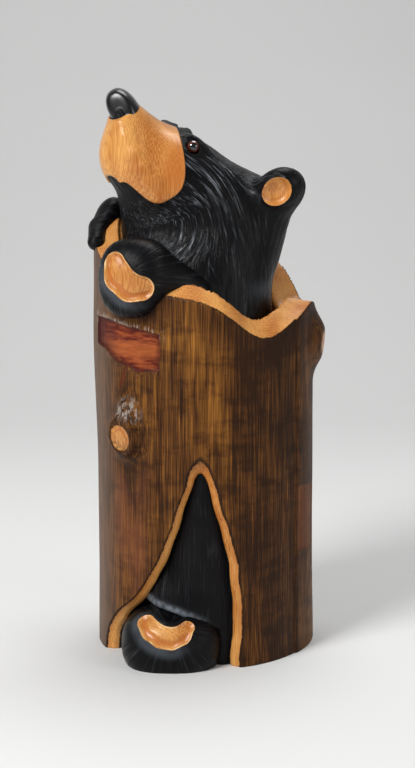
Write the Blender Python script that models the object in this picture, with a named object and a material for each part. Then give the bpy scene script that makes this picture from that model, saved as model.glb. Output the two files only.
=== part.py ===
"""A bear looking out of a hollow log, carved with a chainsaw from one piece of timber.

The log stands on the ground. The bear fills its hollow: the head and both front paws come over the
rim, and one leg and foot show in an opening at the log's front. The bear and the log are one solid
piece of wood. Two glass eyes sit in sockets in the head.
Metres, +Z up, origin where the log's axis meets the ground, viewer's side at -Y.
"""
import bpy
import bmesh
import math
import numpy as np
from mathutils import Matrix, Vector

# Driving dimensions of the log
LOG_RADIUS = 0.0790
LOG_HEIGHT = 0.2550
BUTT_SPREAD = 0.0012
WALL_THICKNESS = 0.0140
HOLLOW_DEPTH = 0.0240
GROOVE_DEPTH = 0.0050
PLANED_DEPTH = 0.0012
RIM_ROUNDING = 0.0040

# Driving dimensions of the opening at the foot of the log
OPENING_HEIGHT = 0.1500
OPENING_DEPTH = 0.0080
BEVEL_WIDTH = 0.0055

# Driving dimensions of the two branch stubs
NEAR_KNOT_RADIUS = 0.0125
NEAR_KNOT_REACH = 0.0080
NEAR_KNOT_HEIGHT = 0.1620
SIDE_KNOT_RADIUS = 0.0185
SIDE_KNOT_REACH = 0.0065
SIDE_KNOT_DROP = 0.0315

# Driving dimensions of the glass eyes
EYE_DIAMETER = 0.0090
EYE_GAP = 0.0003
EYE_SINK = 0.0024

# Fineness of the carved block
FIRST_VOXEL = LOG_RADIUS / 20
LAST_VOXEL = LOG_RADIUS / 40
SPARE_FOOT = 0.006
CARVED_TRIANGLES = 8300

# The bear is carved to the log: its proportions are shares of the log's radius. One unit is a
# seventy-ninth of that radius, and heights of head and paws are counted from the rim.
UNIT = LOG_RADIUS / 79


def over_rim(x, y, z):
    """Place of a point of the head or a paw."""
    return np.array([x * UNIT, y * UNIT, LOG_HEIGHT + z * UNIT])


def on_ground(x, y, z):
    """Place of a point of the foot."""
    return np.array([x, y, z]) * UNIT


def sized(*values):
    """Proportions as metres."""
    return np.array(values) * UNIT


# Soft shapes: each function gives the distance from points p to a surface, negative inside

def normal(v):
    v = np.asarray(v, float)
    return v / np.linalg.norm(v)


def blend(a, b, reach):
    """Union of two shapes with a soft hollow between them."""
    h = np.maximum(reach - np.abs(a - b), 0.0) / reach
    return np.minimum(a, b) - h * h * reach * 0.25


def trim(a, b, reach):
    """What two shapes share, with the edge between them rounded."""
    return -blend(-a, -b, reach)


def fade(x, low, high):
    t = np.clip((x - low) / (high - low), 0, 1)
    return t * t * (3 - 2 * t)


def egg(p, centre, radii, axes=None):
    q = p - centre
    if axes is not None:
        q = q @ axes.T
    k0 = np.linalg.norm(q / radii, axis=1)
    k1 = np.linalg.norm(q / (radii * radii), axis=1) + 1e-9
    return k0 * (k0 - 1.0) / k1


def pebble(p, centre, radii, power):
    """An egg with flatter sides and fuller corners."""
    v = np.abs((p - centre) / radii)
    rho = (v ** power).sum(axis=1) ** (1 / power)
    return (rho - 1) * min(radii)


def limb(p, start, end, start_radius, end_radius):
    run = end - start
    t = np.clip((p - start) @ run / (run @ run), 0, 1)
    return np.linalg.norm(p - start - t[:, None] * run, axis=1) - (start_radius + (end_radius - start_radius) * t)


def chain(p, places, radii):
    """Limbs from place to place."""
    pieces = zip(places, places[1:], radii, radii[1:])
    return np.min([limb(p, start, end, r0, r1) for start, end, r0, r1 in pieces], axis=0)


def eased(stations, values, soft, period=None):
    """Values at stations along a length, as a fine curve with its corners eased."""
    if period:
        fine = np.linspace(-period / 2, period / 2, 721)
    else:
        fine = np.linspace(stations[0] - soft, stations[-1] + soft, 400)
    shifts = (-soft, -soft / 2, 0, soft / 2, soft)
    return fine, sum(np.interp(fine + shift, stations, values, period=period) for shift in shifts) / len(shifts)


def eased_round(degrees, values):
    """Values round the log, as a fine closed curve."""
    return eased(np.radians(degrees), values, math.radians(7), 2 * np.pi)


def along(x, curve):
    return np.interp(x, *curve)


def at_angle(degrees, radius, height):
    """A point round the log, with 0 degrees at the viewer's side and 90 at +X."""
    a = math.radians(degrees)
    return np.array([radius * math.sin(a), -radius * math.cos(a), height])


# The log

RIM_DEGREES = (-170, -140, -115, -92, -72, -50, -22, 0, 14, 28, 42, 58, 72, 84, 96, 112, 121, 128, 138, 150, 170)
RIM_RISE = sized(43, 56, 59, 51, 31, 12, 4, -1, -12, -28, -23, -12, -4.5, -2, -8, -9, -1, 19, 25, 32, 37)
BEVEL_RISE = sized(0, 2, 5, 6, 6, 9, 12, 14, 14, 15, 15, 10, 5, 2, -1, -4, -9, -14, -15, -12, -5)
WALL_SHARES = np.array((1, 1, 1.1, 1.15, 1.1, 1, 0.85, 0.85, 0.85, 0.9, 1, 1.2, 1.45, 1.5, 1.5, 1.5, 1.5, 1.5, 1.4, 1.2, 1))
RIM_CURVE = eased_round(RIM_DEGREES, RIM_RISE)
BEVEL_CURVE = eased_round(RIM_DEGREES, BEVEL_RISE)
WALL_CURVE = eased_round(RIM_DEGREES, WALL_SHARES * WALL_THICKNESS)
PLANED_FROM, PLANED_TO = -24, 55

# The bear fills the log but for a groove behind the rim, which deepens to a hollow on the right
HOLLOW_SHARES = np.array((0.6, 0, 0, 0, 0, 0, 0, 0, 0, 0.1, 0.6, 1, 1, 1, 1, 1, 1, 1, 1, 1, 0.9))
GROOVE_FLOOR = (RIM_RISE + BEVEL_RISE - GROOVE_DEPTH) * (1 - HOLLOW_SHARES) - HOLLOW_DEPTH * HOLLOW_SHARES
FLOOR_CURVE = eased_round(RIM_DEGREES, GROOVE_FLOOR)

# The opening's two sides, in degrees round the log, at shares of its height
OPENING_SHARES = np.array((-0.03, 0, 0.13, 0.22, 0.30, 0.40, 0.50, 0.67, 0.83, 0.93, 0.985, 1.01))
OPENING_LEFT = eased(OPENING_SHARES, np.radians((-66, -66, -62, -53, -41, -32, -26, -18, -12, -9, -6, -3.5)), 0.027)
OPENING_RIGHT = eased(OPENING_SHARES, np.radians((18, 18, 19, 19.5, 19.3, 18.5, 17, 12, 6.5, 3, 0, -2)), 0.027)

# The bark's radius over its height
BARK_CURVE = eased((0, 0.2 * LOG_HEIGHT, LOG_HEIGHT),
                   (LOG_RADIUS + BUTT_SPREAD, LOG_RADIUS + 0.3 * BUTT_SPREAD, LOG_RADIUS - 0.4 * BUTT_SPREAD),
                   0.05 * LOG_HEIGHT)


# The log swells a little on the left, towards the rim
SWELL, SWELL_DEGREES, SWELL_SPREAD = 3.2, -95, 38


def bark_radius(angle, z):
    degrees = np.degrees(angle)
    planed = fade(degrees, PLANED_FROM - 1.3, PLANED_FROM + 1.3) * (1 - fade(degrees, PLANED_TO - 1.3, PLANED_TO + 1.3))
    waves = 0.5 * np.sin(3 * angle + 1) + 0.4 * np.sin(5 * angle + 5 * z / LOG_HEIGHT)
    waves += SWELL * np.exp(-((degrees - SWELL_DEGREES) / SWELL_SPREAD) ** 2) * fade(z, 0.5 * LOG_HEIGHT, 0.95 * LOG_HEIGHT)
    return along(z, BARK_CURVE) - PLANED_DEPTH * planed + waves * UNIT


def across_to(side, angle, share):
    """Distance on the bark to one side of the opening's outline, square to that side."""
    gap = (angle - along(share, side)) * LOG_RADIUS
    lean = (along(share + 0.02, side) - along(share - 0.02, side)) / (0.04 * OPENING_HEIGHT) * LOG_RADIUS
    return gap / np.sqrt(1 + lean * lean)


def opening_inset(angle, z, rounding):
    """How far a point of the bark lies inside the opening's outline, measured on the bark."""
    share = z / OPENING_HEIGHT
    sides = blend(across_to(OPENING_LEFT, angle, share), -across_to(OPENING_RIGHT, angle, share), rounding)
    return blend(sides, OPENING_HEIGHT - z, 4 * UNIT)


def opening_depth(angle, z):
    """The carved depth at the opening: a bevelled edge, then the leg's rounded front."""
    wall = OPENING_DEPTH * np.clip(opening_inset(angle, z, UNIT) / BEVEL_WIDTH, 0, 1)
    inset = opening_inset(angle, z, 14 * UNIT)
    low = fade(-z, -0.4 * OPENING_HEIGHT, -0.07 * OPENING_HEIGHT)
    leg = 0.8 * fade(inset, BEVEL_WIDTH, 4 * BEVEL_WIDTH) + 0.6 * low * fade(inset, BEVEL_WIDTH, 2.5 * BEVEL_WIDTH)
    return wall - np.minimum(leg, 1) * OPENING_DEPTH


def knot(p, degrees, height, reach, radius, cut_degrees, beyond):
    """A branch stub with a sawn end. Its round tip is centred a share of the radius beyond the cut."""
    end = at_angle(degrees, LOG_RADIUS + reach, height)
    tip = at_angle(degrees, LOG_RADIUS + reach + beyond * radius, height)
    stub = limb(p, at_angle(degrees, 0.5 * LOG_RADIUS, height), tip, radius * 1.3, radius)
    saw = (p - end) @ normal(at_angle(cut_degrees, 1, -0.12))
    return trim(stub, saw, 3 * UNIT)


def carved_log(p):
    angle = np.arctan2(p[:, 0], -p[:, 1])
    radius = np.hypot(p[:, 0], p[:, 1])
    z = p[:, 2]
    wall = radius - bark_radius(angle, z) + opening_depth(angle, z)
    near_knot = knot(p, -44, NEAR_KNOT_HEIGHT, NEAR_KNOT_REACH, NEAR_KNOT_RADIUS, -58, 1)
    collar = egg(p, at_angle(-43, LOG_RADIUS - 3 * UNIT, NEAR_KNOT_HEIGHT + NEAR_KNOT_RADIUS + 3.5 * UNIT), sized(10, 8, 10))
    side_knot = knot(p, 90, LOG_HEIGHT - SIDE_KNOT_DROP, SIDE_KNOT_REACH, SIDE_KNOT_RADIUS, 77, -0.86)
    wall = blend(wall, blend(near_knot, collar, 6 * UNIT), 10 * UNIT)
    wall = blend(wall, side_knot, 14 * UNIT)
    thickness = along(angle, WALL_CURVE)
    inward = np.clip((LOG_RADIUS - radius) / thickness, 0, 1)
    top = z - LOG_HEIGHT - along(angle, RIM_CURVE) - along(angle, BEVEL_CURVE) * inward
    timber = trim(wall, top, RIM_ROUNDING)
    hollow = trim(radius - LOG_RADIUS + thickness, LOG_HEIGHT + along(angle, FLOOR_CURVE) - z, 4 * UNIT)
    return trim(timber, -hollow, 4 * UNIT)


# The bear's body

NECK_RISE = sized(-75, -40, -12, 7, 31, 45, 57, 70, 85)
NECK_LEFT = eased(NECK_RISE, sized(-58, -58, -60, -61, -61, -61, -60.5, -58, -48), 8 * UNIT)
NECK_RIGHT = eased(NECK_RISE, sized(48, 47, 47.5, 48, 49, 49.5, 52, 54.5, 48), 8 * UNIT)
NECK_DEPTH = eased(NECK_RISE, sized(60, 62, 60, 55, 50, 45, 38, 32, 26), 8 * UNIT)
NECK_TOP = 90


def neck(p):
    rise = p[:, 2] - LOG_HEIGHT
    left = along(rise, NECK_LEFT)
    right = along(rise, NECK_RIGHT)
    depth = along(rise, NECK_DEPTH)
    middle, half = (left + right) / 2, (right - left) / 2
    rho = (np.abs((p[:, 0] - middle) / half) ** 2.3 + np.abs(p[:, 1] / depth) ** 2.3) ** (1 / 2.3)
    column = (rho - 1) * np.minimum(half, depth)
    bottom = LOG_HEIGHT - 2 * HOLLOW_DEPTH - p[:, 2]
    return trim(trim(column, rise - NECK_TOP * UNIT, 20 * UNIT), bottom, UNIT)


PAW_CENTRE = over_rim(-51, -63.5, 17)
PAW_AXES = np.array([normal((0.96, -0.26, 0)), (0, 0, 1), normal((-0.26, -0.96, 0))])
FAR_PAW_CENTRE = over_rim(-74.5, 14, 51)
FAR_PAW_AXES = np.array([normal((0.91, 0, -0.42)), (0, 1, 0), normal((0.42, 0, 0.91))])
FOOT_CENTRE = on_ground(-24, -60, 14)

# The bare pads: each is a shallow dish along a chain of balls
PAD_DEPTH = 1.8 * UNIT
PAW_PAD = (over_rim(-62, -76, 28.5), over_rim(-59.5, -78, 20), over_rim(-52, -81, 12.5), over_rim(-43, -81.5, 11.5))
PAW_PAD_RADII = sized(8, 10, 9.5, 8.5)
FOOT_PAD = (on_ground(-42.5, -79, 35), on_ground(-38, -86, 30.5), on_ground(-31, -90, 27), on_ground(-24, -91, 26),
            on_ground(-17, -89.5, 28), on_ground(-12.5, -85, 32.5))
FOOT_PAD_RADII = sized(6.5, 7, 7.5, 7.5, 6.5, 5)


def near_paw(p):
    paw = pebble((p - PAW_CENTRE) @ PAW_AXES.T, 0, sized(22.5, 27.5, 17), 2.3)
    arm = limb(p, over_rim(-8, -50, 7), over_rim(-38, -60, 23), 12 * UNIT, 17 * UNIT)
    dish = PAD_DEPTH * fade(-chain(p, PAW_PAD, PAW_PAD_RADII), 0, 2 * UNIT)
    return blend(paw, arm, 12 * UNIT) + dish


def far_paw(p):
    paw = egg(p, FAR_PAW_CENTRE, sized(9, 17, 20), FAR_PAW_AXES)
    arm = limb(p, over_rim(-40, 24, 45), over_rim(-66, 16, 59), 13 * UNIT, 10 * UNIT)
    return blend(paw, arm, 8 * UNIT)


def foot(p):
    whole = pebble(p, FOOT_CENTRE, sized(36, 32, 27), 2.4)
    return whole + PAD_DEPTH * fade(-chain(p, FOOT_PAD, FOOT_PAD_RADII), 0, 2 * UNIT)


def hem_gap(p):
    """The hollow between the leg's hem and the top of the foot."""
    return limb(p, on_ground(-40, -66, 43), on_ground(-12, -82, 37), 6.5 * UNIT, 5 * UNIT)


# The bear's head, in its own axes: forward along the snout, up to the crown, and to its far side

HEAD_CENTRE = over_rim(9, 0, 72.5)
SNOUT_LINE = normal((-0.42, -0.29, 0.86))
FAR_SIDE = normal(np.cross(SNOUT_LINE, (0.90, 0, 0.44)))
HEAD_AXES = np.array([SNOUT_LINE, np.cross(FAR_SIDE, SNOUT_LINE), FAR_SIDE])
BROW_AXES = np.array([normal((0.92, -0.39, 0)), normal((0.39, 0.92, 0)), (0, 0, 1)])
EAR_AXES = np.array([normal((1, 0, -0.25)), (0, 1, 0), normal((0.25, 0, 1))])

SNOUT_STATIONS = sized(12, 20, 30, 40, 52, 62, 72, 80, 88, 94)
SNOUT_TOP = eased(SNOUT_STATIONS, sized(8, 6, 3, -1, -7, -13, -18, -21.5, -25, -28), 4 * UNIT)
SNOUT_UNDER = eased(SNOUT_STATIONS, sized(-54, -57, -61, -64, -66, -64, -58.5, -50, -43, -39), 4 * UNIT)
SNOUT_HALF_WIDTH = eased(SNOUT_STATIONS, sized(37, 37, 36, 34, 30, 26, 21.5, 17.5, 13.5, 10), 4 * UNIT)
SNOUT_WIDEST = eased(SNOUT_STATIONS, sized(-32, -34, -37, -39.5, -41, -41, -40, -38, -36, -35), 4 * UNIT)

# Where the bare wood of the muzzle meets the black fur: how far back it reaches at each height
MUZZLE_HEIGHTS = sized(-72, -65, -60, -56, -52.5, -50, -47.5, -43.5, -39, -31, -23, -18, -14, -10.5, -7.5, -5.5, -2)
MUZZLE_REACH = sized(44, 44, 46, 48, 47, 41, 33, 28, 25.5, 25, 26.5, 30, 35, 42, 50, 57, 70)
MUZZLE_EDGE = eased(MUZZLE_HEIGHTS, MUZZLE_REACH, 3 * UNIT)
MUZZLE_STEP = 1.4 * UNIT

NOSE_AXES = np.array([normal((0.99, -0.12, 0)), normal((0.12, 0.99, 0)), (0, 0, 1)])
NEAR_EYE = sized(46.6, -1.1, -21.7)
FAR_EYE = sized(48, -5, 21.7)


def snout(q):
    forward, up, side = q[:, 0], q[:, 1], q[:, 2]
    curves = (SNOUT_TOP, SNOUT_UNDER, SNOUT_HALF_WIDTH, SNOUT_WIDEST)
    top, under, half, widest = (along(forward, curve) for curve in curves)
    above = up > widest
    height = np.where(above, top - widest, widest - under)
    power = np.where(above, 2.4, 2.1)
    rho = ((np.abs(up - widest) / height) ** power + np.abs(side / half) ** power) ** (1 / power)
    tube = (rho - 1) * np.minimum(half, height)
    return trim(trim(tube, forward - 93 * UNIT, 4 * UNIT), 6 * UNIT - forward, 8 * UNIT)


def face(q):
    """Skull, cheeks, throat and snout under the fur's steps."""
    mirrored = np.column_stack((q[:, :2], -np.abs(q[:, 2])))
    skull = pebble((q - sized(10, -9, 0)) @ BROW_AXES.T, 0, sized(50, 27, 35), 2.4)
    cheeks = egg(mirrored, sized(4, -18, -15), sized(34, 30, 21))
    throat = egg(q, sized(14, -42, 0), sized(32, 21, 22))
    return blend(blend(blend(skull, cheeks, 12 * UNIT), throat, 12 * UNIT), snout(q), 8 * UNIT)


def ear(q, centre, root):
    lobe = egg(q, centre, sized(16.5, 18, 12), EAR_AXES)
    side = np.sign(centre[2])
    neck_root = limb(q, centre + sized(-5, -2, -3 * side), root, 11 * UNIT, 11.5 * UNIT)
    return blend(lobe, neck_root, 8 * UNIT)


def nose(q):
    """A thimble over the snout's end, with a nostril dented in each side."""
    pad = pebble((q - sized(84, -33, 0)) @ NOSE_AXES.T, 0, sized(18.2, 10.6, 15.5), 2.3)
    pad = trim(pad, 83.5 * UNIT - q[:, 0], 2 * UNIT)
    mirrored = np.column_stack((q[:, :2], -np.abs(q[:, 2])))
    nostril = egg(mirrored, sized(96, -35.5, -14), sized(4.5, 3, 3.2))
    return trim(pad, -nostril, 2 * UNIT)


def head_and_neck(p):
    q = (p - HEAD_CENTRE) @ HEAD_AXES.T
    bare = face(q)
    near_ear = ear(q, sized(-6.6, 41, -31), sized(-46, 10, -18))
    far_ear = ear(q, sized(-28, 27, 30), sized(-50, 4, 18))
    near_hollow = egg(q, sized(-1.5, 36.7, -43), sized(11, 11.5, 6.5), EAR_AXES)
    far_hollow = egg(q, sized(-26, 24, 42), sized(11, 11.5, 6.5), EAR_AXES)
    near_brow = egg(q, sized(44.5, 2, -13), sized(10, 4.2, 7), BROW_AXES)
    far_brow = limb(q, sized(58.5, -13.5, 19), sized(46, -3, 18.5), 4.5 * UNIT, 5.5 * UNIT)
    fur = blend(blend(bare, near_ear, 16 * UNIT), far_ear, 16 * UNIT)
    fur = blend(blend(fur, near_brow, 6 * UNIT), far_brow, 4 * UNIT)
    fur = blend(fur, neck(p), 14 * UNIT)
    fur = trim(fur, -np.minimum(near_hollow, far_hollow), 1.5 * UNIT)
    behind = along(q[:, 1], MUZZLE_EDGE) - q[:, 0]
    muzzle = trim(bare - MUZZLE_STEP, behind, 1.2 * UNIT)
    mirrored = np.column_stack((q[:, :2], -np.abs(q[:, 2])))
    mouth = egg(mirrored, sized(44, -62, -14), sized(9, 7, 12))
    muzzle = trim(muzzle, -mouth, 2 * UNIT)
    return blend(blend(fur, muzzle, UNIT), nose(q), UNIT)


def carving(p):
    """The whole block: the log with the bear in it."""
    bear = blend(head_and_neck(p), near_paw(p), 5 * UNIT)
    bear = blend(bear, far_paw(p), 4 * UNIT)
    whole = blend(blend(carved_log(p), bear, 1.2 * UNIT), foot(p), 2 * UNIT)
    return trim(whole, -hem_gap(p), 2 * UNIT)


# Modelling

def material(name, colour, roughness, coat=0.0):
    made = bpy.data.materials.new(name)
    made.use_nodes = True
    shader = made.node_tree.nodes["Principled BSDF"]
    shader.inputs["Base Color"].default_value = (*colour, 1)
    shader.inputs["Roughness"].default_value = roughness
    shader.inputs["Metallic"].default_value = 0.0
    shader.inputs["Coat Weight"].default_value = coat
    return made


def add_ball(bm, centre, radii, axes=((1, 0, 0), (0, 1, 0), (0, 0, 1))):
    turn = Matrix(np.asarray(axes, float).T.tolist()).to_4x4()
    place = Matrix.Translation(Vector(centre)) @ turn @ Matrix.Diagonal((*radii, 1))
    bmesh.ops.create_icosphere(bm, subdivisions=3, radius=1.0, matrix=place)


def from_head(forward, up, side):
    return HEAD_CENTRE + sized(forward, up, side) @ HEAD_AXES


def add_hollow_log(bm):
    """The log as a turned cup: up the bark, over the sloping rim and down to the groove's floor."""
    rings = [[], [], [], []]
    for angle in np.linspace(-math.pi, math.pi, 96, endpoint=False):
        rim = LOG_HEIGHT + along(angle, RIM_CURVE)
        inner = LOG_RADIUS - along(angle, WALL_CURVE)
        corners = ((LOG_RADIUS, -SPARE_FOOT), (LOG_RADIUS, rim), (inner, rim + along(angle, BEVEL_CURVE)),
                   (inner, LOG_HEIGHT + along(angle, FLOOR_CURVE)))
        for ring, (radius, height) in zip(rings, corners):
            ring.append(bm.verts.new((radius * math.sin(angle), -radius * math.cos(angle), height)))
    for low, high in zip(rings, rings[1:]):
        for i in range(len(low)):
            bm.faces.new((low[i - 1], low[i], high[i], high[i - 1]))
    bm.faces.new(rings[0])
    bm.faces.new(rings[-1])
    bmesh.ops.recalc_face_normals(bm, faces=bm.faces)


def rough_out():
    """The blank: the hollow log, with balls where the neck, head, paws and foot come."""
    bm = bmesh.new()
    add_hollow_log(bm)
    add_ball(bm, over_rim(0, 0, 30), sized(56, 48, 50))
    add_ball(bm, from_head(10, -12, 0), sized(46, 36, 38), HEAD_AXES)
    add_ball(bm, from_head(45, -33, 0), sized(46, 28, 28), HEAD_AXES)
    add_ball(bm, from_head(88, -33.5, 0), sized(14, 10, 14), HEAD_AXES)
    add_ball(bm, from_head(-12, 36, -30), sized(20, 20, 13), HEAD_AXES)
    add_ball(bm, from_head(-30, 24, 29), sized(20, 19, 13), HEAD_AXES)
    add_ball(bm, PAW_CENTRE, sized(22, 27, 17), PAW_AXES)
    add_ball(bm, over_rim(-23, -55, 14), sized(27, 15, 15))
    add_ball(bm, FAR_PAW_CENTRE, sized(10, 17, 20), FAR_PAW_AXES)
    add_ball(bm, over_rim(-53, 20, 52), sized(20, 12, 12))
    add_ball(bm, FOOT_CENTRE, sized(35, 31, 26))
    mesh = bpy.data.meshes.new("blank")
    bm.to_mesh(mesh)
    bm.free()
    return mesh


def remeshed(mesh, voxel):
    """The mesh's outer skin, rebuilt with even faces."""
    holder = bpy.data.objects.new("skin", mesh)
    bpy.context.scene.collection.objects.link(holder)
    remesh = holder.modifiers.new("Remesh", "REMESH")
    remesh.mode = "VOXEL"
    remesh.voxel_size = voxel
    skin = bpy.data.meshes.new_from_object(holder.evaluated_get(bpy.context.evaluated_depsgraph_get()))
    bpy.data.objects.remove(holder)
    return skin


def slope_at(shape, points, nudge):
    """Which way a shape's distance grows fastest, at each point."""
    distance = shape(points)
    slope = np.column_stack([(shape(points + shift) - distance) / nudge for shift in np.eye(3) * nudge])
    return distance, slope


def carve(mesh, passes, longest_step):
    """Move every point along the carving's slope until it lies on the carving's surface."""
    points = np.empty(len(mesh.vertices) * 3)
    mesh.vertices.foreach_get("co", points)
    points = points.reshape(-1, 3)
    for _ in range(passes):
        distance, slope = slope_at(carving, points, 0.1 * UNIT)
        steepness = np.maximum(np.linalg.norm(slope, axis=1), 0.25)
        step = np.clip(distance / steepness, -longest_step, longest_step)
        points -= slope / steepness[:, None] * step[:, None]
    mesh.vertices.foreach_set("co", points.ravel())
    mesh.update()


def even_out(mesh, rounds):
    """Relax the points between their neighbours, so that edges run evenly."""
    bm = bmesh.new()
    bm.from_mesh(mesh)
    for _ in range(rounds):
        bmesh.ops.smooth_vert(bm, verts=bm.verts, factor=0.5, use_axis_x=True, use_axis_y=True, use_axis_z=True)
    bm.to_mesh(mesh)
    bm.free()


def drop_chips(mesh):
    """Keep the block itself and none of the loose chips that thinning its faces can leave."""
    bm = bmesh.new()
    bm.from_mesh(mesh)
    left = set(bm.verts)
    pieces = []
    while left:
        piece = set()
        growing = [left.pop()]
        while growing:
            vert = growing.pop()
            piece.add(vert)
            near = [edge.other_vert(vert) for edge in vert.link_edges]
            growing.extend(other for other in near if other in left)
            left.difference_update(near)
        pieces.append(piece)
    pieces.sort(key=len)
    chips = [vert for piece in pieces[:-1] for vert in piece]
    bmesh.ops.delete(bm, geom=chips, context="VERTS")
    bm.to_mesh(mesh)
    bm.free()


def flatten_foot(mesh):
    """Saw the block off level at the ground and close the cut."""
    bm = bmesh.new()
    bm.from_mesh(mesh)
    everything = bm.verts[:] + bm.edges[:] + bm.faces[:]
    cut = bmesh.ops.bisect_plane(bm, geom=everything, dist=1e-6, plane_co=(0, 0, 0), plane_no=(0, 0, 1),
                                 clear_inner=True)
    rim = [item for item in cut["geom_cut"] if isinstance(item, bmesh.types.BMEdge)]
    bmesh.ops.holes_fill(bm, edges=rim, sides=0)
    bmesh.ops.recalc_face_normals(bm, faces=bm.faces)
    bm.to_mesh(mesh)
    bm.free()


def eye_place(eye):
    """The eye's middle, sunk square to the fur below the place where a line across the head leaves it."""
    outward = np.sign(eye[2]) * FAR_SIDE
    start = HEAD_CENTRE + eye @ HEAD_AXES
    steps = np.linspace(-14, 14, 561)[:, None] * UNIT * outward
    outside = head_and_neck(start + steps) > 0
    surface = start + steps[int(np.argmax(outside))]
    slope = slope_at(head_and_neck, surface[None], 0.1 * UNIT)[1][0]
    return surface - normal(slope) * EYE_SINK


def ball_object(name, centre, radius, rings):
    bm = bmesh.new()
    bmesh.ops.create_uvsphere(bm, u_segments=2 * rings, v_segments=rings, radius=radius)
    mesh = bpy.data.meshes.new(name)
    bm.to_mesh(mesh)
    bm.free()
    mesh.shade_smooth()
    made = bpy.data.objects.new(name, mesh)
    made.location = centre
    bpy.context.scene.collection.objects.link(made)
    return made


def carved_block(root, eye_places):
    mesh = remeshed(rough_out(), FIRST_VOXEL)
    carve(mesh, 6, 4 * UNIT)
    mesh = remeshed(mesh, FIRST_VOXEL * 0.7)
    carve(mesh, 4, 3 * UNIT)
    mesh = remeshed(mesh, LAST_VOXEL)
    carve(mesh, 3, 2 * UNIT)
    even_out(mesh, 2)
    carve(mesh, 2, UNIT)
    block = bpy.data.objects.new("carved_bear_log", mesh)
    bpy.context.scene.collection.objects.link(block)
    thin = block.modifiers.new("Decimate", "DECIMATE")
    thin.ratio = min(1.0, CARVED_TRIANGLES / sum(len(face.vertices) - 2 for face in mesh.polygons))
    block.data = bpy.data.meshes.new_from_object(block.evaluated_get(bpy.context.evaluated_depsgraph_get()))
    block.modifiers.clear()
    block.data.name = "carved_bear_log"
    drop_chips(block.data)
    flatten_foot(block.data)
    block.data.shade_smooth()
    block.data.set_sharp_from_angle(angle=math.radians(40))
    block.data.materials.append(material("stained carved wood", (0.10, 0.045, 0.018), 0.42, 0.3))
    for number, place in enumerate(eye_places):
        cutter = ball_object("socket_cutter_%d" % number, place, EYE_DIAMETER / 2 + EYE_GAP, 10)
        cutter.hide_render = True
        cutter.display_type = "WIRE"
        cutter.parent = root
        socket = block.modifiers.new("Socket", "BOOLEAN")
        socket.operation = "DIFFERENCE"
        socket.solver = "EXACT"
        socket.object = cutter
    block.parent = root
    return block


def glass_eyes(root, eye_places):
    glass = material("dark brown glass", (0.02, 0.008, 0.004), 0.05, 1.0)
    for name, place in zip(("glass_eye_near", "glass_eye_far"), eye_places):
        eye = ball_object(name, place, EYE_DIAMETER / 2, 10)
        eye.data.materials.append(glass)
        eye.parent = root


def build():
    for old in list(bpy.data.objects):
        bpy.data.objects.remove(old, do_unlink=True)
    root = bpy.data.objects.new("carved_bear", None)
    bpy.context.scene.collection.objects.link(root)
    eye_places = [eye_place(NEAR_EYE), eye_place(FAR_EYE)]
    carved_block(root, eye_places)
    glass_eyes(root, eye_places)


build()
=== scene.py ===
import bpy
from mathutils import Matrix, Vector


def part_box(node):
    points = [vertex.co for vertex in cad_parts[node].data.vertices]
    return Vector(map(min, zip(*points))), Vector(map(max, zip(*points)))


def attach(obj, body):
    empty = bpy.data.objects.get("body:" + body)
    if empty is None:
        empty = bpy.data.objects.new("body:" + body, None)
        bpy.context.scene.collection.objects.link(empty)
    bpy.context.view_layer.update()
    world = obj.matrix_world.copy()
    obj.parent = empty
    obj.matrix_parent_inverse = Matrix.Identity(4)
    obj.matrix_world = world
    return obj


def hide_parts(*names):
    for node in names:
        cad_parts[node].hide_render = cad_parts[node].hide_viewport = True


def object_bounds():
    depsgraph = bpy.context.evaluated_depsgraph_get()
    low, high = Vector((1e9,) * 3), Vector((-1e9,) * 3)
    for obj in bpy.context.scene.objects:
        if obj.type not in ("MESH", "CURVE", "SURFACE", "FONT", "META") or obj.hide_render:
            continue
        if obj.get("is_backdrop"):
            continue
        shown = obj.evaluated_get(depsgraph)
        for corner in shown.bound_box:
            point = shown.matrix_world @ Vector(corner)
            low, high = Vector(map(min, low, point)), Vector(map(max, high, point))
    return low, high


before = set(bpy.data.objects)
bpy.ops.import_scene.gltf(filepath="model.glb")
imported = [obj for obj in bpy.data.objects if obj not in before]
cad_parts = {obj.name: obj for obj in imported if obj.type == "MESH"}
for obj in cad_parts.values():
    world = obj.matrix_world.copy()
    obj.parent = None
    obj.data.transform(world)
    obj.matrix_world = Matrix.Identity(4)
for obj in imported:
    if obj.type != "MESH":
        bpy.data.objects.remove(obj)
cad_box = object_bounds()
print("nodes:", sorted(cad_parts), "box:", [tuple(round(x, 4) for x in corner) for corner in cad_box])

# %% Modules and the unit of length
import contextlib
import itertools
import math

import bmesh
import bpy
import numpy as np
from mathutils import Matrix, Vector

MM = 0.001


def mm(*values):
    """Millimetres as metres."""
    return np.array(values, float) * MM


def new_object(name, data):
    made = bpy.data.objects.new(name, data)
    bpy.context.scene.collection.objects.link(made)
    return made


# %% [markdown]
# ## The camera
# The photograph was taken from about a metre away, a little above the rim, with a long lens that keeps the
# log's sides almost upright.
# %% Camera
CAMERA_PLACE = (0.0011, -1.05, 0.345)
CAMERA_PITCH = 8.4
CAMERA_LENS = 67.7

camera = new_object("camera", bpy.data.cameras.new("camera"))
camera.data.lens = CAMERA_LENS
camera.data.sensor_width = 36
camera.location = CAMERA_PLACE
camera.rotation_euler = (math.radians(90 - CAMERA_PITCH), 0, 0)
camera.data.clip_start, camera.data.clip_end = 0.02, 50
bpy.context.scene.camera = camera

# %% [markdown]
# ## Soft shapes
# A carver takes wood away until a surface is right. Here a distance function says how far a point is from
# the wanted surface, below zero inside. Such functions are joined with a soft hollow, or cut by each other.
# %% Distance functions


def normal(v):
    v = np.asarray(v, float)
    return v / np.linalg.norm(v)


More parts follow.
